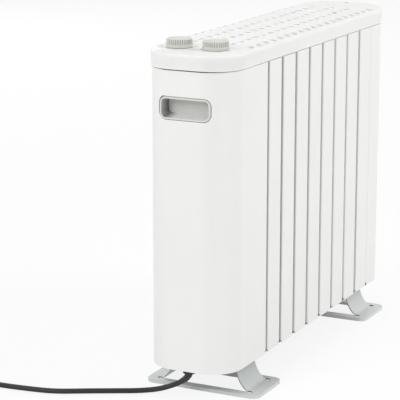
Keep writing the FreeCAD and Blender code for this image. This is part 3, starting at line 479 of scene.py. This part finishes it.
def white_coat(name):
    """White coat with painted shade on the folds in the slits, most of all near the control end."""
    material, shader = finish_of(name, WHITE_STEEL)
    tree = material.node_tree
    x = spot_of(tree)[0]
    folded = ramp(tree, facing_of(tree)[0], *FOLD_FACING)
    folds = all_of(tree, folded, within(tree, x, 0.0, FOLD_REACH))
    # Painted shade on the faces of the folds, deeper towards the control end
    tint(shader, folds, FOLD_SHADE_FAR)
    tint(shader, all_of(tree, folds, ramp(tree, x, FOLD_REACH, -FOLD_REACH)), FOLD_SHADE_NEAR)
    return material, shader


def shade_joint(shader, joint, x, y):
    """Painted shade in the joint under the cap across the control end, and a painted lighter tone at the
    front corner.
    """
    tree = shader.id_data
    end = all_of(tree, joint, below(tree, x, JOINT_X))
    # Painted light at the front corner of the joint
    tint(shader, all_of(tree, end, ramp(tree, y, *JOINT_CORNER)), JOINT_LIGHT)
    across = all_of(tree, ramp(tree, y, *JOINT_FRONT), ramp(tree, y, *JOINT_BACK))
    # Painted shade across the joint at the control end
    tint(shader, all_of(tree, end, across), JOINT_SHADE)


def rim_distance(tree, y, height):
    """Distance outwards from the lines on which the rounded corners of the cup's rim are centred."""
    beside = minus(tree, size(tree, y), RIM_WIDTH / 2 - RIM_CORNER)
    over = minus(tree, size(tree, height), RIM_HEIGHT / 2 - RIM_CORNER)
    return distance_of(tree, calc(tree, "MAXIMUM", beside, 0.0), calc(tree, "MAXIMUM", over, 0.0))


def cover_coat():
    """White coat with painted shade around the cup's window, in the joint under the cap and at the seam's
    foot.
    """
    material, shader = white_coat("white_powder_coat")
    tree = material.node_tree
    x, y, z = spot_of(tree)
    end_x = -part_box("handle_cup_near")[0].x
    height = minus(tree, z, middle_of("handle_cup_near").z)
    outwards = rim_distance(tree, y, height)
    end = above(tree, size(tree, x), end_x - WINDOW_REACH)
    window = below(tree, outwards, RIM_CORNER + WINDOW_MARGIN)
    cut = below(tree, facing_of(tree)[0], FACING)
    # Painted shade on the cut edge of the window round the cup
    tint(shader, all_of(tree, window, end, cut), GAP_SHADE)
    # Painted shadow line just outside the rim's gap, on the +Y side only
    line = within(tree, outwards, RIM_CORNER + RIM_GAP + WINDOW_LINE / 2, WINDOW_LINE / 2)
    reach = all_of(tree, ramp(tree, y, *WINDOW_LINE_Y), ramp(tree, height, *WINDOW_LINE_Z))
    tint(shader, all_of(tree, line, reach, end), GAP_SHADE)
    # Painted shade in the joint under the cap, on the cover's top edge
    shade_joint(shader, above(tree, z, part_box("end_cover_near")[1].z - COVER_EDGE), x, y)
    # Painted shade at the foot of the far cover's seam
    foot = below(tree, z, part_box("end_cover_far")[0].z + SEAM_FOOT)
    side = above(tree, size(tree, y), SEAM_SIDE)
    tint(shader, all_of(tree, within(tree, x, SEAM_X, SEAM_HALF), foot, side), SEAM_SHADE)
    return material


def cap_coat():
    """White plastic that scatters light, with painted light in the slots and under the knobs, and painted
    shade on its sides, in the recesses and the joint.
    """
    material, shader = finish_of("white_cap_plastic", CAP_PLASTIC)
    shader.inputs["Subsurface Weight"].default_value = CAP_GLOW
    shader.inputs["Subsurface Radius"].default_value = EVEN
    shader.inputs["Subsurface Scale"].default_value = CAP_GLOW_REACH
    tree = material.node_tree
    x, y, z = spot_of(tree)
    upright = below(tree, facing_of(tree)[2], FACING)
    # Painted shade: the cap's upright faces a little darker than its top
    tint(shader, times(tree, upright, CAP_SIDE_SHADE_SHARE), CAP_SIDE_SHADE)
    roof = all_of(tree, upright, above(tree, z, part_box("top_cap")[1].z - CAP_ROOF))
    slots = all_of(tree, roof, within(tree, x, 0.0, SLOT_END), within(tree, y, 0.0, SLOT_SIDE))
    # Painted light on the slot walls, more on the rows towards the back
    tint(shader, slots, SLOT_WALL_LIGHT)
    tint(shader, all_of(tree, slots, ramp(tree, y, *SLOT_BACK_Y)), SLOT_BACK_LIGHT)
    # Painted shade in the joint under the cap, on the cap's lower edge
    shade_joint(shader, below(tree, z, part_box("end_cover_near")[1].z + JOINT_GAP), x, y)
    for knob in MARK_SPOTS:
        low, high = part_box(knob)
        middle = middle_of(knob)
        distance = distance_of(tree, minus(tree, x, middle.x), minus(tree, y, middle.y))
        # Painted light on the cap under each knob, against the shade in the gap
        tint(shader, below(tree, distance, (high.x - low.x) / 2), KNOB_SEAT_LIGHT)
    for (spot_x, spot_y), shade in zip(CAP_SCREW_SPOTS, RECESS_SHADES):
        distance = distance_of(tree, minus(tree, x, spot_x), minus(tree, y, spot_y))
        # Painted shade in the screw recesses, darkest in the first
        tint(shader, all_of(tree, roof, below(tree, distance, RECESS_RADIUS)), shade)
    return material


def knob_coat(node):
    """Moulded plastic, paler on the grip, with painted shade in its grooves and a pointer towards the
    first mark.
    """
    material, shader = finish_of(node, KNOB_PLASTIC)
    tree = material.node_tree
    middle = middle_of(node)
    x, y, z = spot_of(tree)
    x = minus(tree, x, middle.x)
    y = minus(tree, y, middle.y)
    upward = facing_of(tree)[2]
    upright = below(tree, upward, FACING)
    grip = above(tree, z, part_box(node)[0].z + KNOB_BAND)
    tint(shader, all_of(tree, upright, grip), KNOB_SIDE)
    groove = ramp(tree, distance_of(tree, x, y), RIB_TIP_RADIUS, RIB_ROOT_RADIUS)
    # Painted shade in the grooves between the ribs
    tint(shader, all_of(tree, groove, upright), GROOVE_SHADE)
    heading = Vector(MARK_SPOTS[node][0]).normalized()
    along = plus(tree, times(tree, x, heading.x), times(tree, y, heading.y))
    across = minus(tree, times(tree, y, heading.x), times(tree, x, heading.y))
    length = within(tree, along, (POINTER_START + POINTER_END) / 2, (POINTER_END - POINTER_START) / 2)
    width = within(tree, across, 0.0, POINTER_HALF)
    tint(shader, all_of(tree, length, width, above(tree, upward, FACING)), POINTER_GREY)
    return material


def cup_coat():
    """Grey cup with painted light on the rim and floor, and painted shade on the walls, deeper inwards,
    on a corner of the floor and in the gap round the rim.
    """
    material, shader = finish_of("cup_plastic", CUP_PLASTIC)
    tree = material.node_tree
    x, y, z = spot_of(tree)
    face_x, face_y, face_z = facing_of(tree)
    depth = minus(tree, -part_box("handle_cup_near")[0].x, size(tree, x))
    height = minus(tree, z, middle_of("handle_cup_near").z)
    cup_floor = all_of(tree, ramp(tree, face_z, *CUP_FLOOR_FACING), below(tree, height, 0.0))
    # Painted light on the cup's floor
    tint(shader, cup_floor, CUP_FLOOR_LIGHT)
    # Painted shadow of the left wall on the floor's corner
    tint(shader, all_of(tree, cup_floor, ramp(tree, y, *CUP_CORNER_Y)), CUP_CORNER_SHADOW)
    walls = ramp(tree, face_y, *CUP_WALL_FACING)
    # Painted shade on the walls, deeper inwards
    tint(shader, all_of(tree, ramp(tree, depth, 0.0, CUP_DEPTH), walls), CUP_SHADE)
    # Painted light on the rim
    tint(shader, all_of(tree, above(tree, face_x, RIM_FACING), below(tree, depth, RIM_DEPTH)), RIM_LIGHT)
    gap = above(tree, rim_distance(tree, y, height), RIM_CORNER + RIM_MARGIN)
    # Painted shade in the gap around the rim
    tint(shader, gap, GAP_SHADE)
    lit = all_of(tree, above(tree, height, GAP_LIGHT_Z), below(tree, y, GAP_LIGHT_Y))
    # Painted light on the upper part of the gap
    tint(shader, all_of(tree, gap, lit), GAP_LIGHT)
    return material


def plated_metal():
    """Zinc plating with painted shade along the edges next to the covers and slats."""
    material, shader = metal_of("plated_steel", PLATED_STEEL)
    tree = material.node_tree
    side = size(tree, spot_of(tree)[1])
    # Painted shade on the edges seen through the notches and slits
    tint(shader, above(tree, side, PLATED_EDGE_Y), PLATED_EDGE_SHADE)
    return material


def foot_coat():
    """Silver-grey coat with painted light on the pads and painted shade near the controls, on arm edges
    and in the holes.
    """
    material, shader = finish_of("foot_coat", FOOT_STEEL)
    tree = material.node_tree
    x, y, z = spot_of(tree)
    # Painted light on the pads and the low parts of the foot
    tint(shader, ramp(tree, z, PAD_FADE, PAD_TOP), PAD_LIGHT)
    # Painted shade over the whole foot at the control end
    tint(shader, times(tree, below(tree, x, 0.0), NEAR_FOOT_SHADE_SHARE), NEAR_FOOT_SHADE)
    edge = ramp(tree, facing_of(tree)[0], *ARM_EDGE_FACING)
    # Painted shade on the edges of the arms
    tint(shader, all_of(tree, edge, above(tree, z, ARM_FOOT)), ARM_EDGE_SHADE)
    from_foot = size(tree, minus(tree, size(tree, x), FOOT_X))
    across = minus(tree, from_foot, HOLE_X)
    along = minus(tree, size(tree, y), HOLE_Y)
    # Painted shade in the relief holes
    tint(shader, below(tree, distance_of(tree, across, along), HOLE_RADIUS), HOLE_SHADE)
    return material


def rubber_coat():
    """Black jacket with a fine grain and little shine."""
    material, shader = finish_of("black_rubber", BLACK_RUBBER)
    shader.inputs["Specular IOR Level"].default_value = RUBBER_SHINE
    return material


# Materials by the slot of the record, and those of the knobs and marks
finishes = {
    "white_steel": cover_coat(),
    "white_fin": white_coat("white_fin_coat")[0],
    "white_plastic": cap_coat(),
    "cup_plastic": cup_coat(),
    "foot_steel": foot_coat(),
    "plated_steel": plated_metal(),
    "rail_aluminium": metal_of("rail_metal", RAIL_ALUMINIUM, DRAWN_ALONG_X)[0],
    "screw_steel": metal_of("screw_steel", SCREW_STEEL)[0],
    "element_steel": metal_of("element_steel", ELEMENT_STEEL)[0],
    "ceramic": finish_of("ceramic", CERAMIC)[0],
    "brass": metal_of("brass", BRASS)[0],
    "control_plastic": finish_of("control_plastic", CONTROL_PLASTIC)[0],
    "wire_insulation": finish_of("wire_insulation", WIRE_INSULATION)[0],
    "black_rubber": rubber_coat(),
    "tie_fabric": finish_of("tie_fabric", TIE_FABRIC)[0],
}
knob_finishes = {knob: knob_coat(knob) for knob in MARK_SPOTS}
mark_ink = finish_of("mark_ink", MARK_INK)[0]


def paint(piece, material):
    piece.data.materials.clear()
    piece.data.materials.append(material)


for part in frame["record"]["subparts"]:
    node = part["node"]
    paint(frame["nodes"][node], knob_finishes.get(node) or finishes[part["material_slot"]])


# Piece helpers

def linked(name, data):
    """New object in the scene."""
    piece = bpy.data.objects.new(name, data)
    bpy.context.scene.collection.objects.link(piece)
    return piece


def new_piece(name, data, slot_name, place=(0, 0, 0), turn=(0, 0, 0)):
    """Piece that rides on the heater's body, with the finish of a slot."""
    piece = linked(name, data)
    piece.location = place
    piece.rotation_euler = turn
    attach(piece, BODY)
    if slot_name:
        paint(piece, finishes[slot_name])
    return piece


def mesh_of(name, bm):
    bmesh.ops.recalc_face_normals(bm, faces=bm.faces)
    mesh = bpy.data.meshes.new(name)
    bm.to_mesh(mesh)
    bm.free()
    mesh.shade_smooth()
    mesh.set_sharp_from_angle(angle=SMOOTH_ANGLE)
    return mesh


def ring(bm, centre, side, up, radius):
    """Circle of vertices about a centre, in the plane of two directions."""
    vertices = []
    for i in range(ROUND_STEPS):
        angle = 2 * math.pi * i / ROUND_STEPS
        outwards = side * (radius * math.cos(angle)) + up * (radius * math.sin(angle))
        vertices.append(bm.verts.new(centre + outwards))
    return vertices


def skin(bm, rings):
    """Quads between successive rings of equal count."""
    for low, high in zip(rings, rings[1:]):
        for i in range(len(low)):
            j = (i + 1) % len(low)
            bm.faces.new((low[i], low[j], high[j], high[i]))


def closed_skin(bm, rings):
    skin(bm, rings)
    bm.faces.new(rings[0])
    bm.faces.new(rings[-1])


def turned_mesh(name, start, axis, side, profile):
    """Closed turned piece: a profile of (distance along the axis, radius)."""
    bm = bmesh.new()
    up = axis.cross(side)
    closed_skin(bm, [ring(bm, start + axis * along, side, up, radius) for along, radius in profile])
    return mesh_of(name, bm)


def quarter_turn(along, radius, edge, rising):
    """Rounded edge of a turned piece, before or after its full radius."""
    stops = []
    for i in range(EDGE_STEPS + 1):
        angle = math.pi / 2 * i / EDGE_STEPS
        less_cos = edge * (1 - math.cos(angle))
        less_sin = edge * (1 - math.sin(angle))
        if rising:
            stops.append((along + less_cos, radius - less_sin))
        else:
            stops.append((along - less_sin, radius - less_cos))
    return stops


def between(low, high, share):
    return low + (high - low) * share


def wave(turns):
    """Zero at each whole turn and one halfway between."""
    return 0.5 - 0.5 * math.cos(2 * math.pi * turns)


# Cord

def coil_radius(turns):
    """Radius that falls by a step a turn, reverses smoothly in the climb, and grows again."""
    reverse = COIL_TURNS_IN + COIL_TURNS_CLIMB / 2
    inner = COIL_RADIUS - COIL_STEP * reverse
    ease = COIL_TURNS_CLIMB / 2
    away = abs(turns - reverse)
    if away < ease:
        return inner + COIL_STEP * (away ** 2 + ease ** 2) / (2 * ease)
    return inner + COIL_STEP * away


def coil_point(turns):
    """Control point of the coil, just outside the turn so that the smooth line keeps its radius."""
    radius = coil_radius(turns) / math.cos(math.pi / COIL_POINTS)
    climbed = min(max((turns - COIL_TURNS_IN) / COIL_TURNS_CLIMB, 0), 1)
    z = CORD_Z + COIL_LAYER * climbed ** 2 * (3 - 2 * climbed)
    angle = 2 * math.pi * turns
    return COIL_X + radius * math.cos(angle), COIL_Y + radius * math.sin(angle), z


def cord_points():
    """Control points of the free cord, the coil and the short lead to the plug."""
    plug = middle_of("plug")
    entry_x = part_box("plug")[1].x
    points = list(CORD_ROUTE)
    count = round(COIL_TURNS * COIL_POINTS)
    points.extend(coil_point(i / COIL_POINTS) for i in range(1, count))
    points.append((between(COIL_X, entry_x, COIL_LEAVE), plug.y, CORD_Z + COIL_LAYER))
    points.append((between(COIL_X, entry_x, PLUG_LEVEL), plug.y, plug.z))
    points.append((entry_x, plug.y, plug.z))
    return points


def cord_curve():
    curve = bpy.data.curves.new("mains_cord", "CURVE")
    curve.dimensions = "3D"
    spline = curve.splines.new("NURBS")
    points = cord_points()
    spline.points.add(len(points) - 1)
    for point, spot in zip(spline.points, points):
        point.co = (*spot, 1)
        point.radius = CORD_RADIUS
    spline.order_u = 3
    spline.use_endpoint_u = True
    spline.resolution_u = CORD_STEPS
    curve.use_fill_caps = True
    return curve


def line_of(piece):
    """Points along a curve that has no thickness yet."""
    bpy.context.view_layer.update()
    graph = bpy.context.evaluated_depsgraph_get()
    mesh = bpy.data.meshes.new_from_object(piece.evaluated_get(graph))
    points = [vertex.co.copy() for vertex in mesh.vertices]
    bpy.data.meshes.remove(mesh)
    return points


def make_sleeve(line):
    """Tapered strain relief with grooves along the first stretch of the cord."""
    bm = bmesh.new()
    rings = []
    along = 0.0
    side = ALONG_X
    for before, spot, after in zip(line[:1] + line, line, line[1:]):
        along += (spot - before).length
        if along > SLEEVE_LENGTH:
            break
        heading = (after - before).normalized()
        side = (side - heading * side.dot(heading)).normalized()
        share = along / SLEEVE_LENGTH
        groove = SLEEVE_GROOVE * wave(SLEEVE_GROOVES * share)
        radius = between(SLEEVE_RADIUS, SLEEVE_TIP_RADIUS, share) - groove
        rings.append(ring(bm, spot, side, heading.cross(side), radius))
    closed_skin(bm, rings)
    return new_piece("cord_relief", mesh_of("cord_relief", bm), "black_rubber")


def make_plug():
    """Plug with a grooved grip and a rounded disc."""
    low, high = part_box("plug")
    middle = middle_of("plug")
    disc_radius = (high.z - low.z) / 2
    profile = []
    for i in range(GRIP_STEPS + 1):
        share = i / GRIP_STEPS
        groove = GRIP_GROOVE * wave(GRIP_GROOVES * share)
        radius = between(PLUG_ENTRY_RADIUS, PLUG_GRIP_RADIUS, share) - groove
        profile.append((PLUG_GRIP * share, radius))
    profile += quarter_turn(PLUG_GRIP, disc_radius, PLUG_EDGE, True)
    profile += quarter_turn(high.x - low.x, disc_radius, PLUG_EDGE, False)
    start = Vector((high.x, middle.y, middle.z))
    mesh = turned_mesh("plug_body", start, -ALONG_X, ALONG_Y, profile)
    plug = new_piece("plug_body", mesh, "black_rubber")
    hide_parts("plug")
    return plug


def make_pins():
    """Two pins with rounded tips."""
    low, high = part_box("plug_pins")
    profile = [(0, PIN_RADIUS)] + quarter_turn(high.x - low.x, PIN_RADIUS, PIN_TIP, False)
    pins = []
    for number, y in enumerate((low.y + PIN_RADIUS, high.y - PIN_RADIUS), 1):
        start = Vector((high.x, y, middle_of("plug").z))
        mesh = turned_mesh("plug_pin", start, -ALONG_X, ALONG_Y, profile)
        pins.append(new_piece("plug_pin_%d" % number, mesh, "brass"))
    for pin in pins:
        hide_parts("plug_pins")
    return pins


def tie_loop(bm, inset, y, low, high):
    """Rounded loop of the strap, across the coil."""
    corner = TIE_CORNER - inset
    loop = []
    for turn, (side_x, side_z) in enumerate(((1, 1), (-1, 1), (-1, -1), (1, -1))):
        centre_x = (high.x if side_x > 0 else low.x) - side_x * TIE_CORNER
        centre_z = (high.z if side_z > 0 else low.z) - side_z * TIE_CORNER
        for i in range(EDGE_STEPS + 1):
            angle = math.pi / 2 * (turn + i / EDGE_STEPS)
            x = centre_x + corner * math.cos(angle)
            z = centre_z + corner * math.sin(angle)
            loop.append(bm.verts.new((x, y, z)))
    return loop


def make_tie():
    """Strap with lengthwise ridges around the coil."""
    low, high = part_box("cord_tie")
    bm = bmesh.new()
    outside = []
    inside = []
    steps = TIE_RIDGE_STEPS * TIE_RIDGES
    for i in range(steps + 1):
        y = between(low.y, high.y, i / steps)
        ridge = TIE_RIDGE * wave(TIE_RIDGES * i / steps)
        outside.append(tie_loop(bm, TIE_RIDGE - ridge, y, low, high))
        inside.append(tie_loop(bm, TIE_SHEET, y, low, high))
    skin(bm, outside)
    skin(bm, inside)
    skin(bm, [outside[0], inside[0]])
    skin(bm, [outside[-1], inside[-1]])
    tie = new_piece("coil_strap", mesh_of("coil_strap", bm), "tie_fabric")
    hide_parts("cord_tie")
    return tie


def make_cord():
    """Cord as thick as its points' radius says, and the pieces on it."""
    cord = new_piece("mains_cord", cord_curve(), "black_rubber")
    line = line_of(cord)
    cord.data.bevel_depth = 1.0
    cord.data.bevel_resolution = CORD_ROUNDNESS
    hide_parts("cord_free", "cord_coil")
    with_pieces = [frame["nodes"]["cord_gland"], make_sleeve(line), make_plug(), *make_pins(), make_tie()]


# Marks beside the knobs

def make_marks():
    """Printed dots with a bevelled edge."""
    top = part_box("top_cap")[1].z
    profile = (
        (-MARK_THICKNESS, MARK_RADIUS),
        (MARK_THICKNESS, MARK_RADIUS),
        (2 * MARK_THICKNESS, MARK_TOP * MARK_RADIUS),
    )
    for knob, spots in MARK_SPOTS.items():
        middle = middle_of(knob)
        for number, (dx, dy) in enumerate(spots, 1):
            spot = Vector((middle.x + dx, middle.y + dy, top))
            mesh = turned_mesh("dial_mark", spot, ALONG_Z, ALONG_X, profile)
            mark = new_piece("%s_mark_%d" % (knob, number), mesh, None)
            paint(mark, mark_ink)


# Screws with cross recesses

def cross_outline(reach, half):
    corners = []
    for turn in range(4):
        angle = math.pi / 2 * turn
        cos = math.cos(angle)
        sin = math.sin(angle)
        for x, y in ((half, -half), (reach, -half), (reach, half)):
            corners.append((x * cos - y * sin, x * sin + y * cos))
    return corners


def screw_profile(head, shank):
    """Heights and radii of a screw with a rounded head, its seat at zero."""
    head_radius, head_height = head
    shank_radius, shank_length = shank
    profile = [(-shank_length, shank_radius), (0, shank_radius), (0, head_radius)]
    for i in range(HEAD_STEPS):
        angle = math.pi / 2 * i / HEAD_STEPS
        z = head_height * between(HEAD_STRAIGHT, 1, math.sin(angle))
        radius = head_radius * between(HEAD_FLAT, 1, math.cos(angle))
        profile.append((z, radius))
    return profile


def screw_mesh(name, head, shank):
    """Screw along Z with its head above and a tapered cross recess in its top."""
    head_radius, head_height = head
    bm = bmesh.new()
    profile = screw_profile(head, shank)
    rings = [ring(bm, ALONG_Z * z, ALONG_X, ALONG_Y, radius) for z, radius in profile]
    skin(bm, rings)
    bm.faces.new(rings[0])
    top_z = profile[-1][0]
    low_z = top_z - head_height * CROSS_DEPTH
    outline = cross_outline(head_radius * CROSS_REACH, head_radius * CROSS_WIDTH / 2)
    cross = [bm.verts.new((x, y, top_z)) for x, y in outline]
    recess = [bm.verts.new((CROSS_TAPER * x, CROSS_TAPER * y, low_z)) for x, y in outline]
    skin(bm, [cross, recess])
    bm.faces.new(recess)
    edges = []
    for loop in (rings[-1], cross):
        for start, end in zip(loop, loop[1:] + loop[:1]):
            edges.append(bm.edges.get((start, end)) or bm.edges.new((start, end)))
    bmesh.ops.triangle_fill(bm, use_beauty=True, use_dissolve=False, edges=edges)
    return mesh_of(name, bm)


def make_cap_screws():
    seat_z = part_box("top_cap")[1].z - CAP_SCREW_RECESS
    mesh = screw_mesh("cap_screw", CAP_SCREW_HEAD, CAP_SCREW_SHANK)
    for number, (x, y) in enumerate(CAP_SCREW_SPOTS, 1):
        screw = new_piece("cap_screw_%d" % number, mesh, "screw_steel", (x, y, seat_z))
        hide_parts("cap_screws")


def make_foot_screws():
    """Screws put in from below, each turned a little further than the last."""
    mesh = screw_mesh("foot_screw", FOOT_SCREW_HEAD, FOOT_SCREW_SHANK)
    sides = (-1, 1)
    for number, (foot, side_x, side_y) in enumerate(itertools.product(sides, sides, sides), 1):
        place = (foot * FOOT_X + side_x * FOOT_SCREW_X, side_y * FOOT_SCREW_Y, FOOT_SCREW_SEAT)
        turn = (math.pi, 0, FOOT_SCREW_TURN * number)
        screw = new_piece("foot_screw_%d" % number, mesh, "screw_steel", place, turn)
        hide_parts("foot_screws")


# Camera

def aim(piece, direction):
    piece.rotation_mode = "QUATERNION"
    piece.rotation_quaternion = direction.to_track_quat("-Z", "Y")


def make_camera():
    camera = bpy.data.cameras.new("camera")
    camera.lens = CAMERA_LENS
    camera.sensor_width = CAMERA_SENSOR
    camera.clip_start = CAMERA_NEAR
    camera.clip_end = CAMERA_FAR
    piece = linked("camera", camera)
    piece.location = CAMERA_SPOT
    flat = math.cos(CAMERA_ELEVATION)
    back_x = math.sin(CAMERA_AZIMUTH) * flat
    back_y = -math.cos(CAMERA_AZIMUTH) * flat
    aim(piece, -Vector((back_x, back_y, math.sin(CAMERA_ELEVATION))))
    bpy.context.scene.camera = piece


# Floor, background and lamps

def show(tree, output, share, lit, shown):
    """One shader that lights the object, and a share of another for rays that show the background."""
    path = tree.nodes.new("ShaderNodeLightPath")
    seen = path.outputs["Is Camera Ray"]
    for kind in ("Is Glossy Ray", "Is Transmission Ray"):
        seen = calc(tree, "MAXIMUM", seen, path.outputs[kind])
    mix = tree.nodes.new("ShaderNodeMixShader")
    tree.links.new(times(tree, seen, share), mix.inputs["Fac"])
    tree.links.new(lit.outputs[0], mix.inputs[1])
    tree.links.new(shown.outputs[0], mix.inputs[2])
    tree.links.new(mix.outputs["Shader"], output.inputs["Surface"])


def make_floor():
    bm = bmesh.new()
    corners = ((-1, -1), (1, -1), (1, 1), (-1, 1))
    bm.faces.new([bm.verts.new((x * FLOOR_REACH, y * FLOOR_REACH, 0)) for x, y in corners])
    piece = linked("floor", mesh_of("floor", bm))
    material = bpy.data.materials.new("floor_white")
    tree = empty_tree(material)
    output = tree.nodes.new("ShaderNodeOutputMaterial")
    matt = tree.nodes.new("ShaderNodeBsdfDiffuse")
    matt.inputs["Color"].default_value = (*FLOOR_WHITE, 1)
    show(tree, output, FLOOR_GLOW, matt, tree.nodes.new("ShaderNodeEmission"))
    paint(piece, material)


def make_world():
    world = bpy.data.worlds.new("studio")
    bpy.context.scene.world = world
    tree = empty_tree(world)
    output = tree.nodes.new("ShaderNodeOutputWorld")
    light = tree.nodes.new("ShaderNodeBackground")
    light.inputs["Strength"].default_value = WORLD_STRENGTH
    shown = tree.nodes.new("ShaderNodeBackground")
    for node in (light, shown):
        node.inputs["Color"].default_value = (1, 1, 1, 1)
    show(tree, output, BACKGROUND_GLOW, light, shown)


def make_lamps():
    middle = Vector((0, 0, cad_box[1].z / 2))
    for name, (spot, power) in LAMPS.items():
        lamp = bpy.data.lights.new(name, "AREA")
        lamp.shape = "DISK"
        lamp.size = LAMP_SIZE
        lamp.energy = power
        piece = linked(name, lamp)
        piece.location = spot
        aim(piece, middle - Vector(spot))


make_cord()
make_marks()
make_cap_screws()
make_foot_screws()
make_camera()
make_floor()
make_world()
make_lamps()
bpy.context.scene.view_settings.view_transform = "Standard"
